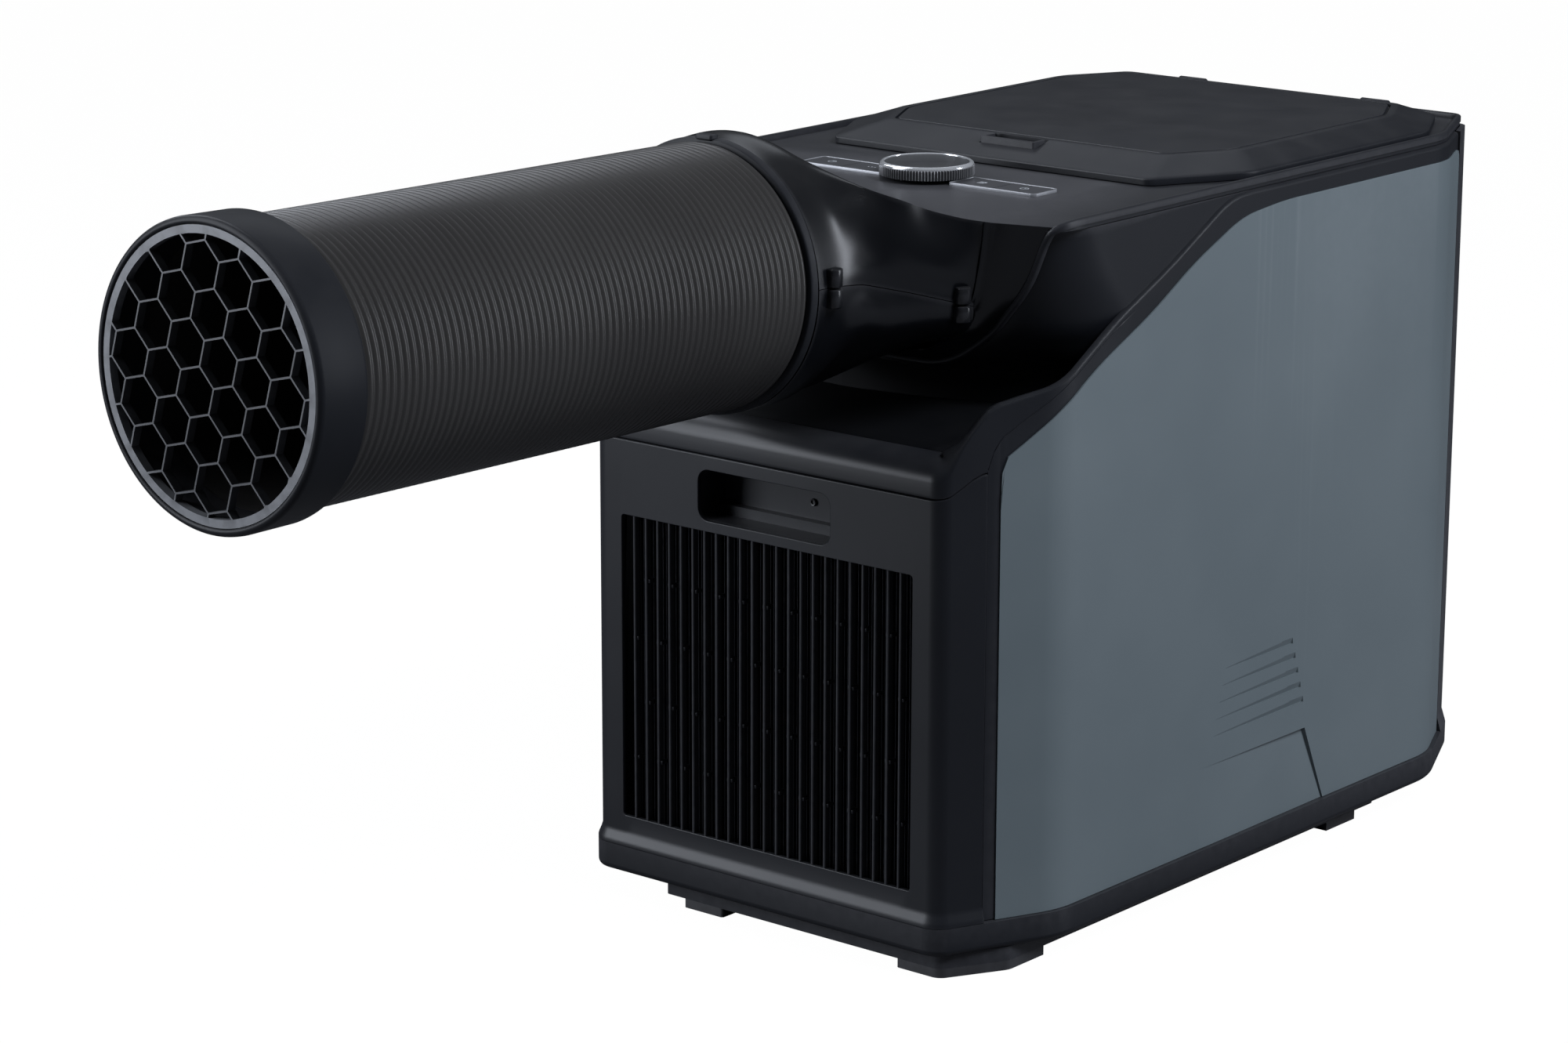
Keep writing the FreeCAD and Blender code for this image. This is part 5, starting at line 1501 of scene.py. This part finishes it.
# ---------------------------------------------------------------- head and deck
@dataclass
class Head:
    """Neck that widens into the head, its rim, the raised bead and the top deck."""
    shop: Workshop
    plan: Plan = field(default_factory=Plan)
    deck_z: float = 425.3
    sections: tuple[tuple[float, tuple[Point2, ...]], ...] = (
        (-4.5, ((0, 462.2), (63, 448.7), (78.3, 414.5), (79.2, 393.8), (72, 363.2), (0, 319.1))),
        (12.6, ((0, 446.9), (82.8, 441.5), (87.2, 414.5), (86.3, 393.8), (77.4, 360.5),
                (0, 321.8))),
        (34.2, ((0, 435.2), (91, 432.5), (97.0, 410), (96.8, 392), (86.0, 360.5), (0, 329.3))),
        (50.0, ((0, 428.4), (103.2, 427.0), (105.2, 405.5), (103.2, 386.5), (91.0, 359.0),
                (0, 337.5))),
        (56.4, ((0, 426.6), (111.0, 425.4), (109.2, 403.5), (105.6, 383.5), (93.5, 358.5),
                (0, 342.2))))
    rim_inner: tuple[Point2, ...] = ((111.5, 425.2), (110.8, 415.0), (109.2, 403), (105.3, 383),
                                     (95, 361), (72, 347.6), (36, 342.6), (0, 342))
    rim_outer: tuple[Point2, ...] = (
        (152, 425.0), (148.5, 421.7), (144.9, 414.5), (140.4, 403.7), (135.9, 393.8),
        (129.6, 383.9), (121.5, 374), (110.7, 361.4), (98.1, 351.5), (84.6, 343.4),
        (70.2, 338.9), (53.1, 338), (36, 338), (19.8, 338), (0, 338))
    seam: tuple[Point2, ...] = ((-45, 398.0), (-30, 397.6), (-8, 395.6), (20, 388.0),
                                (54, 377.5), (70, 373.0))

    def build(self) -> None:
        """Builds the neck halves, rim, bead, clips and deck."""
        self.neck()
        self.rim()
        self.bead()
        self.clips()
        self.deck()

    def half_section(self, points: Sequence[Point2], crease: bool) -> list[Vector]:
        """One half of a neck section, from the top middle to the bottom middle.

        Args:
            points: The six key points.
            crease: Whether the second point is a crisp edge.

        Returns:
            Sixty-one points, with the twentieth at the crease.
        """
        p = [Vector((x, z)) for x, z in points]
        if crease:
            top = spline([Vector((-p[1].x, p[1].y)), p[0], p[1]], 41)[20:]
            flank = spline([p[1], p[2], p[3], p[4], p[5], Vector((-p[4].x, p[4].y))], 401)
            end = min(range(len(flank)), key=lambda i: abs(flank[i].x) if i > 150 else 1e9)
            return top[:-1] + respace(flank[:end + 1], 41)
        ring = spline([Vector((-p[1].x, p[1].y)), *p, Vector((-p[4].x, p[4].y))], 1201)
        start = min(range(300), key=lambda i: abs(ring[i].x))
        end = min(range(600, 1201), key=lambda i: abs(ring[i].x))
        knee = min(range(start, end), key=lambda i: (ring[i] - p[1]).length)
        return respace(ring[start:knee + 1], 21)[:-1] + respace(ring[knee:end + 1], 41)

    def circle_section(self) -> list[Vector]:
        """The neck's round mouth, divided like the other sections.

        Returns:
            Sixty-one points.
        """
        knee = math.radians(39.6)
        angles = [blend(math.pi / 2, knee, k / 20) for k in range(20)]
        angles += [blend(knee, -math.pi / 2, k / 40) for k in range(41)]
        return [Vector((MOUTH_RADIUS * math.cos(a), DUCT_Z + MOUTH_RADIUS * math.sin(a)))
                for a in angles]

    def stations(self) -> list[tuple[float, list[Vector]]]:
        """All neck sections, smoothed along the depth.

        Returns:
            Pairs of a depth and the half-section there.
        """
        keys: list[tuple[float, list[Vector]]] = [(-66.0, self.circle_section()),
                                                  (-45.0, self.circle_section()),
                                                  (-22.5, self.circle_section())]
        for i, (y, points) in enumerate(self.sections):
            keys.append((y, self.half_section(points, i >= 1)))
        out: list[tuple[float, list[Vector]]] = []
        for i in range(1, len(keys) - 1):
            y0, y1 = keys[i][0], keys[i + 1][0]
            before, after = keys[i - 1], keys[min(i + 2, len(keys) - 1)]
            count = 8
            for k in range(count):
                t = k / count
                y = blend(y0, y1, t)
                loop = []
                for j in range(61):
                    a, b = keys[i][1][j], keys[i + 1][1][j]
                    m0 = (b - before[1][j]) * ((y1 - y0) / (y1 - before[0]))
                    wide = after[0] - y0 if after[0] > y1 else y1 - y0
                    m1 = (after[1][j] - a) * ((y1 - y0) / wide)
                    h = 3 * t * t - 2 * t * t * t
                    loop.append(a * (1 - h) + b * h + m0 * (t * (1 - t) * (1 - t))
                                - m1 * (t * t * (1 - t)))
                out.append((y, loop))
        out.append(keys[-1])
        return out

    def seam_z(self, y: float) -> float:
        """Height of the split line at a depth."""
        return smooth_table(self.seam, y, 8.0)

    def neck(self) -> None:
        """Upper and lower neck shells that meet at a sloping split line."""
        upper: list[list[Point3]] = []
        lower: list[list[Point3]] = []
        for y, loop in self.stations():
            cut = next(i for i in range(21, 60) if loop[i].y < self.seam_z(y))
            t = (loop[cut - 1].y - self.seam_z(y)) / (loop[cut - 1].y - loop[cut].y)
            split = loop[cut - 1].lerp(loop[cut], t)
            high = loop[:21] + respace([loop[20], *loop[21:cut], split], 17)[1:]
            low = respace([split, *loop[cut:]], 34)
            centre = Vector((0, 392.0))
            inward = (centre - split).normalized()
            high[-1] = high[-1] + Vector((0, 0.28))
            low[0] = low[0] - Vector((0, 0.28))
            high += [high[-1] + inward * 0.5 - Vector((0, 0.12)), high[-1] + inward * 3.0]
            low = [low[0] + inward * 3.0, low[0] + inward * 0.5 + Vector((0, 0.12))] + low
            upper.append([(-p.x, y, p.y) for p in reversed(high)]
                         + [(p.x, y, p.y) for p in high[1:]])
            lower.append([(p.x, y, p.y) for p in low]
                         + [(-p.x, y, p.y) for p in reversed(low[:-1])])
        for name, loops, node in (("neck_upper_shell", upper, "top_deck"),
                                  ("neck_lower_shell", lower, "neck_lower")):
            first = loops[0]
            lip = [[(x * f, y, DUCT_Z + (z - DUCT_Z) * f) for x, y, z in first]
                   for f, y in ((0.955, -38.0), (0.955, -44.2), (0.992, -45.0))]
            piece = self.shop.loft(name, lip + loops, closed=False, ends=False)
            self.shop.dress(piece, "black_gloss", Body.CABINET, [node], sharp=38)

    def rim(self) -> None:
        """Convex roll from the neck's end out to the raised bead."""
        inner = respace([Vector((x, z)) for x, z in self.rim_inner], 46)
        outer = respace([Vector((x, z)) for x, z in self.rim_outer], 46)
        rows = ((-0.03, 59.0), (0.0, 56.6), (0.012, 55.5), (0.035, 55.0), (0.06, 55.5),
                (0.08, 56.5), (0.11, 57.4), (0.2, 58.2), (0.4, 59.6), (0.6, 61.6), (0.8, 64.4),
                (0.94, 67.0), (1.0, 68.5))
        loops = []
        for t, y in rows:
            half = [a.lerp(b, t) for a, b in zip(inner, outer)]
            line = [(p.x, y, min(p.y, self.deck_z - 0.1)) for p in half]
            loops.append(line[:-1] + [(-x, y, z) for x, y, z in reversed(line)])
        piece = self.shop.loft("head_rim", loops, closed=False, ends=False)
        self.shop.dress(piece, "black_gloss", Body.CABINET, sharp=50)

    def bead_path(self) -> list[Vector]:
        """Right half of the bead's path: round the deck from the rear, then down the head.

        Returns:
            The path's points.
        """
        path = []
        for x, y, nx, ny in reversed(self.plan.span(96, self.plan.depth)):
            path.append(Vector((x - nx * 4.4, y - ny * 4.4, 427.0)))
        path += [Vector(p) for p in ((154.9, 84, 426.9), (154.0, 75, 426.2), (151.8, 69.6, 424.4),
                                     (148.9, 67.6, 421.6))]
        path += [Vector((x, 67.4, z)) for x, z in self.rim_outer[2:]]
        return path

    def bead(self) -> None:
        """The raised bead round the deck and the head."""
        half = respace(spline(self.bead_path(), 420), 300)
        path = half + [Vector((-p.x, p.y, p.z)) for p in reversed(half[1:-1])]
        n = len(path)
        loops = []
        for i, p in enumerate(path):
            ahead = (path[(i + 1) % n] - path[i - 1]).normalized()
            top = p.z > 420 and p.y > 70
            face = Vector((0, 0, 1)) if top else Vector((0, -1, 0))
            mix = ease((p.z - 415.0) / 10.0) * ease((p.y - 66.0) / 14.0)
            face = (Vector((0, -1, 0)).lerp(Vector((0, 0, 1)), mix)).normalized()
            side = ahead.cross(face).normalized()
            face = side.cross(ahead).normalized()
            loop = []
            for u, v in ((-1.7, -2.4), (-1.7, 0.7), (-1.35, 1.35), (-0.7, 1.7), (0.7, 1.7),
                         (1.35, 1.35), (1.7, 0.7), (1.7, -2.4)):
                q = p + side * u + face * v
                loop.append((q.x, q.y, q.z))
            loops.append(loop)
        piece = self.shop.loft("deck_bead", loops, ends=False, ring=True)
        self.shop.dress(piece, "black_shell", Body.CABINET, sharp=60)

    def clips(self) -> None:
        """Half-round snap clips across the split line."""
        parts = []
        for side in Side:
            for x, y, z, turn, tall in ((77.8, -33.5, 397.6, 0.0, 11.0),
                                        (103.0, 48.5, 378.9, -24.0, 10.2)):
                for low, high in ((z - tall, z - 0.35), (z + 0.35, z + tall)):
                    block = self.shop.rounded_block("clip", (-5.0, -4.4, low), (5.0, 4.4, high),
                                                    3.6, 0.9)
                    a = math.radians(turn * side.value)
                    c, s = math.cos(a), math.sin(a)
                    home = self.shop.place.at(0, 0, 0)
                    for vertex in block.data.vertices:
                        v = vertex.co - home
                        vertex.co = home + Vector((v.x * c - v.y * s + side.value * x * MM,
                                                   v.x * s + v.y * c + y * MM, v.z))
                    parts.append(block)
        piece = self.shop.join("neck_snap_clips", parts)
        self.shop.dress(piece, "black_gloss", Body.CABINET, ["neck_clips"], sharp=50)

    def deck(self) -> None:
        """The deck plate with its openings for keys, knob and bin."""
        rows = self.plan.span(67.5, self.plan.depth)
        right = [(x - nx * 3.4, y - ny * 3.4) for x, y, nx, ny in rows]
        right = [(106, 57.5), (116, 57.5), (151, 68.0), (154.6, 74.0)] + [
            p for p in right if p[1] > 84]
        outline = right + [(-x, y) for x, y in reversed(right)]
        outline = [p for i, p in enumerate(outline)
                   if i == 0 or math.dist(p, outline[i - 1]) > 1e-3]
        plate = self.shop.prism("deck_plate", outline, "xy", 422.3, self.deck_z)
        cutters = []
        for side in Side:
            for a, b in ((26.5, 55.6), (56.4, 85.5)):
                x0, x1 = sorted((side.value * a, side.value * b))
                cutters.append(self.shop.prism(
                    "cut", [(x0 - 0.3, 137.2), (x1 + 0.3, 137.2), (x1 + 0.3, 158.8),
                            (x0 - 0.3, 158.8)], "xy", 400, 440))
        bin_line = rounded_outline([(-109, 232), (109, 232), (109, 491), (-109, 491)],
                                   [14.0] * 4)
        cutters.append(self.shop.prism("cut", bin_line, "xy", 400, 440))
        hole = [(3.2 * math.cos(a * math.pi / 12), KNOB_Y + 3.2 * math.sin(a * math.pi / 12))
                for a in range(24)]
        cutters.append(self.shop.prism("cut", hole, "xy", 400, 440))
        self.shop.carve(plate, cutters)
        self.shop.dress(plate, "black_shell", Body.CABINET, soften=0.5)


# ---------------------------------------------------------------- controls
@dataclass
class Controls:
    """Knurled knob with its bright ring, keybars and generic key marks."""
    shop: Workshop
    centre_y: float = KNOB_Y
    base_z: float = 427.4
    radius: float = 28.0
    ridges: int = 96

    def build(self) -> None:
        """Builds the knob and the key marks."""
        centre = Vector((0, self.centre_y, self.base_z))
        up = Vector((0, 0, 1))
        r = self.radius

        def knurl(angle: float, radius: float) -> float:
            """Radius change that makes the grip ridges."""
            if radius < r - 0.9:
                return 0.0
            return -0.6 * (0.5 + 0.5 * math.cos(angle * self.ridges)) ** 0.8

        skirt = self.shop.revolve("knob_grip", [(20.0, 0.0), (r - 1.4, 0.0), (r - 0.1, 0.5),
                                                (r, 1.0), (r, 5.5), (r - 0.1, 6.0),
                                                (r - 1.2, 6.3), (20.0, 6.3)], centre, up,
                                  self.ridges * 8, knurl)
        self.shop.dress(skirt, "grip_metal", Body.KNOB, ["knob_skirt"], sharp=45)
        ring = self.shop.revolve("knob_bright_ring", [
            (r - 3.1, 5.8), (r - 0.9, 5.8), (r - 0.6, 6.2), (r - 0.6, 7.0), (r - 0.75, 7.3),
            (r - 1.7, 8.05), (r - 2.0, 8.15), (r - 2.6, 8.15), (r - 2.9, 8.0), (r - 3.1, 7.6)],
            centre, up, 160)
        self.shop.dress(ring, "bright_ring", Body.KNOB, ["knob_ring"], sharp=28)
        cap = self.shop.revolve("knob_top_cap", [
            (0.01, 6.2), (r - 3.25, 6.2), (r - 3.25, 7.35), (r - 3.5, 7.6), (r - 4.0, 7.6),
            (r - 6.0, 7.45), (12.0, 7.25), (0.01, 7.2)], centre, up, 160)
        self.shop.dress(cap, "brushed_cap", Body.KNOB, ["knob_cap"], sharp=28)
        for side in Side:
            self.keybar(side)
        self.marks()

    def keybar(self, side: Side) -> None:
        """Thin bright frame round two keys, with large corners at its outer end.

        Args:
            side: Which side of the knob.
        """
        loops = []
        y0, y1 = self.centre_y - 12.0, self.centre_y + 12.0
        for d, z in ((0.0, 425.3), (0.0, 426.75), (0.1, 426.98), (0.25, 427.1), (0.6, 427.1),
                     (0.8, 427.0), (0.9, 426.8), (0.9, 425.3)):
            corners = [(25.0 + d, y0 + d), (87.0 - d, y0 + d), (87.0 - d, y1 - d),
                       (25.0 + d, y1 - d)]
            radii = [max(1.2 - d, 0.3), max(3.4 - d, 0.8), max(3.4 - d, 0.8), max(1.2 - d, 0.3)]
            loops.append([(side.value * x, y, z)
                          for x, y in rounded_outline(corners, radii, 6)])
        frame = self.shop.loft("keybar_" + side.name.lower(), loops, ends=False, ring=True)
        self.shop.dress(frame, "silver_line", Body.CABINET,
                        ["keybar_frame_" + side.name.lower()], sharp=40)

    def marks(self) -> None:
        """Small pale printed marks, plain rings, bars and dots."""
        z = 426.93
        jobs = ((Body.FAN_KEY, 41.0, "bars"), (Body.POWER_KEY, 71.0, "ring"),
                (Body.MODE_KEY, -41.0, "dots"), (Body.TIMER_KEY, -71.0, "arc"))
        for body, x, kind in jobs:
            parts = []
            y = self.centre_y
            if kind == "bars":
                for k in (-1, 0, 1):
                    parts.append(self.shop.rounded_block("m", (x - 3.0, y + k * 1.8 - 0.3, z),
                                                         (x + 3.0 - abs(k), y + k * 1.8 + 0.3,
                                                          z + 0.06), 0.2, 0.02))
            elif kind == "dots":
                for k in (-1, 0, 1):
                    parts.append(self.shop.rounded_block("m", (x + k * 2.4 - 0.5, y - 0.5, z),
                                                         (x + k * 2.4 + 0.5, y + 0.5, z + 0.06),
                                                         0.49, 0.02))
            else:
                parts.append(self.shop.revolve("m", [(2.2, z), (2.7, z), (2.7, z + 0.06),
                                                     (2.2, z + 0.06)], Vector((x, y, 0)),
                                               Vector((0, 0, 1)), 36))
                parts.append(self.shop.rounded_block("m", (x - 0.25, y, z),
                                                     (x + 0.25, y + 3.0, z + 0.06), 0.2, 0.02))
            piece = self.shop.join("mark_" + body.value, parts)
            self.shop.dress(piece, "mark_print", body, sharp=60)


# ---------------------------------------------------------------- lid
@dataclass
class StorageLid:
    """Lid with sloping sides, a groove round its inset panel, and the pocket and tray of its
    sliding latch.
    """
    shop: Workshop
    half_width: float = 148.5
    front_y: float = 206.0
    length: float = 311.0
    face_half: float = 117.0
    run: float = 59.5
    z0: float = 425.6
    z1: float = 429.9
    z2: float = 437.9

    def loop(self, inset: float, extra: float, z: float,
             rounding: float = 0.0) -> list[Point3]:
        """One outline of the lid.

        Args:
            inset: Distance inside the outer outline.
            extra: Further set-back of the front half.
            z: Height.
            rounding: Change of the corner radii.

        Returns:
            The outline's points.
        """
        width = self.half_width - self.face_half
        lean = math.hypot(width, self.run)
        side = self.half_width - inset
        face = self.face_half - inset * (lean - width) / self.run
        knee = self.run + inset * (lean - self.run) / width
        y0, y1 = self.front_y, self.front_y + self.length
        corners = [(-face, y0 + inset + extra), (face, y0 + inset + extra),
                   (side, y0 + knee + extra), (side, y1 - knee), (face, y1 - inset),
                   (-face, y1 - inset), (-side, y1 - knee), (-side, y0 + knee + extra)]
        radii = [max(r - rounding, 1.0) for r in (8.0, 8.0, 30.0, 30.0, 8.0, 8.0, 30.0, 30.0)]
        return [(x, y, z) for x, y in rounded_outline(corners, radii, 7)]

    def build(self) -> None:
        """Builds the lid, its inset panel, the latch pocket with its tray, and the hinge."""
        z0, z1, z2 = self.z0, self.z1, self.z2
        outer = [(0.5, 0, z0), (0.1, 0, z0 + 0.3), (0, 0, z0 + 0.8), (0, 0, z1 - 0.9),
                 (0.25, 0.1, z1 - 0.3), (0.9, 0.4, z1 + 0.2), (2.2, 1.2, z1 + 0.75),
                 (20.0, 10.7, z2 - 0.85), (21.2, 11.4, z2 - 0.35), (22.5, 12.0, z2 - 0.05),
                 (24.0, 12.0, z2), (26.0, 12.0, z2), (26.5, 12.0, z2 - 0.25),
                 (26.6, 12.0, z2 - 2.0), (40.0, 12.0, z2 - 2.0), (40.0, 12.0, z2 - 3.2),
                 (24.0, 12.0, z2 - 3.2), (3.0, 0, z1 - 1.4), (2.6, 0, z0)]
        loops = [self.loop(a, b, z) for a, b, z in outer]
        shell = self.shop.loft("lid_shell", loops, ends=False, ring=True)
        inner = [(40.0, 12.0, z2 - 2.1), (28.4, 12.0, z2 - 2.1), (28.4, 12.0, z2 - 0.4),
                 (28.6, 12.0, z2 - 0.05), (29.1, 12.0, z2 + 0.05)]
        panel = self.shop.loft("lid_inset_panel", [self.loop(a, b, z) for a, b, z in inner])
        pocket = rounded_outline([(-20.5, 224.2), (20.5, 224.2), (20.5, 240.4),
                                  (-20.5, 240.4)], [1.4] * 4)
        front = rounded_outline([(-21.8, 222.0), (21.8, 222.0), (21.8, 241.8), (-21.8, 241.8)],
                                [2.4] * 4)
        self.shop.carve(panel, [self.shop.prism("cut", pocket, "xy", z2 - 5.6, z2 + 3),
                                self.shop.prism("cut", front, "xy", z2 - 0.7, z2 + 3)])
        self.shop.carve(shell, [self.shop.prism("cut", pocket, "xy", z2 - 5.6, z2 + 3)])
        self.shop.dress(shell, "black_shell", Body.LID, ["lid"], sharp=30, even=True)
        self.shop.dress(panel, "black_shell", Body.LID, ["lid_inset"], sharp=30, even=True)
        # The tray under the latch pocket is in the same near-black: painted shade in the pocket.
        tray = self.shop.rounded_block("latch_tray", (-24, 221, z2 - 7.4), (24, 243, z2 - 5.5),
                                       2.0, 0.4)
        self.shop.dress(tray, "painted_shade_black", Body.LID, sharp=40)
        self.hinge()

    def hinge(self) -> None:
        """Hinge knuckles at the rear of the lid."""
        parts = []
        for side in Side:
            x = side.value * 70.0 - 10.0
            parts.append(self.shop.revolve("knuckle", [
                (2.05, 0), (3.6, 0), (4.0, 0.5), (4.0, 19.5), (3.6, 20), (2.05, 20)],
                Vector((x, 520.0, 430.3)), Vector((1, 0, 0)), 32))
            parts.append(self.shop.rounded_block("web", (x, 512.6, 427.4), (x + 20, 518.0, 431.2),
                                                 0.6, 0.4))
        piece = self.shop.join("lid_knuckles", parts)
        self.shop.dress(piece, "black_shell", Body.LID, sharp=40)


# ---------------------------------------------------------------- carried-over nodes
@dataclass
class CarriedNodes:
    """CAD nodes whose shape stays, given their finishes and softened edges."""
    shop: Workshop
    frame: dict
    softened: dict[str, float] = field(default_factory=lambda: {
        "base_tray": 1.6, "skid_plate": 1.2, "feet": 1.2, "rear_panel": 0.8, "rear_grille": 0.4,
        "return_grille": 0.4, "rear_handle_cup": 0.8, "front_handle_cup": 0.8, "lid_latch": 0.5,
        "keybar_frame_left": 0.35, "keybar_frame_right": 0.35, "key_fan": 0.35, "key_mode": 0.35,
        "key_power": 0.35, "key_timer": 0.35, "outlet_honeycomb": 0.22, "drain_plug": 0.5,
        "storage_bin": 0.8, "power_inlet": 0.4})

    def build(self) -> None:
        """Dresses each node by its slot in the record."""
        slots = {row["node"]: row["material_slot"] for row in self.frame["record"]["subparts"]}
        for name, node in self.frame["nodes"].items():
            # The honeycomb gets its own finish, whose pale edges are painted highlights.
            slot = "comb_painted_edge_light" if name == "outlet_honeycomb" else slots[name]
            node.data.materials.clear()
            node.data.materials.append(self.shop.finish(slot))
            if name in self.softened and not node.hide_render:
                self.shop.soften(node, self.softened[name], 2, 38.0)
            log.info("node %s: finish %s", name, slot)


def main() -> None:
    """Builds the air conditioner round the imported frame."""
    logging.basicConfig(level=logging.INFO, format="%(message)s")
    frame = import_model()
    place = Place(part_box("base_tray")[0].y + 0.0027)
    shop = Workshop(place, Effects())
    Studio(place).build()
    CabinetShell(shop).build()
    FrontGrille(shop).build()
    ColdAirDuct(shop).build()
    Head(shop).build()
    Controls(shop).build()
    StorageLid(shop).build()
    CarriedNodes(shop, frame).build()
    bpy.context.view_layer.update()


if __name__ == "__main__":
    main()
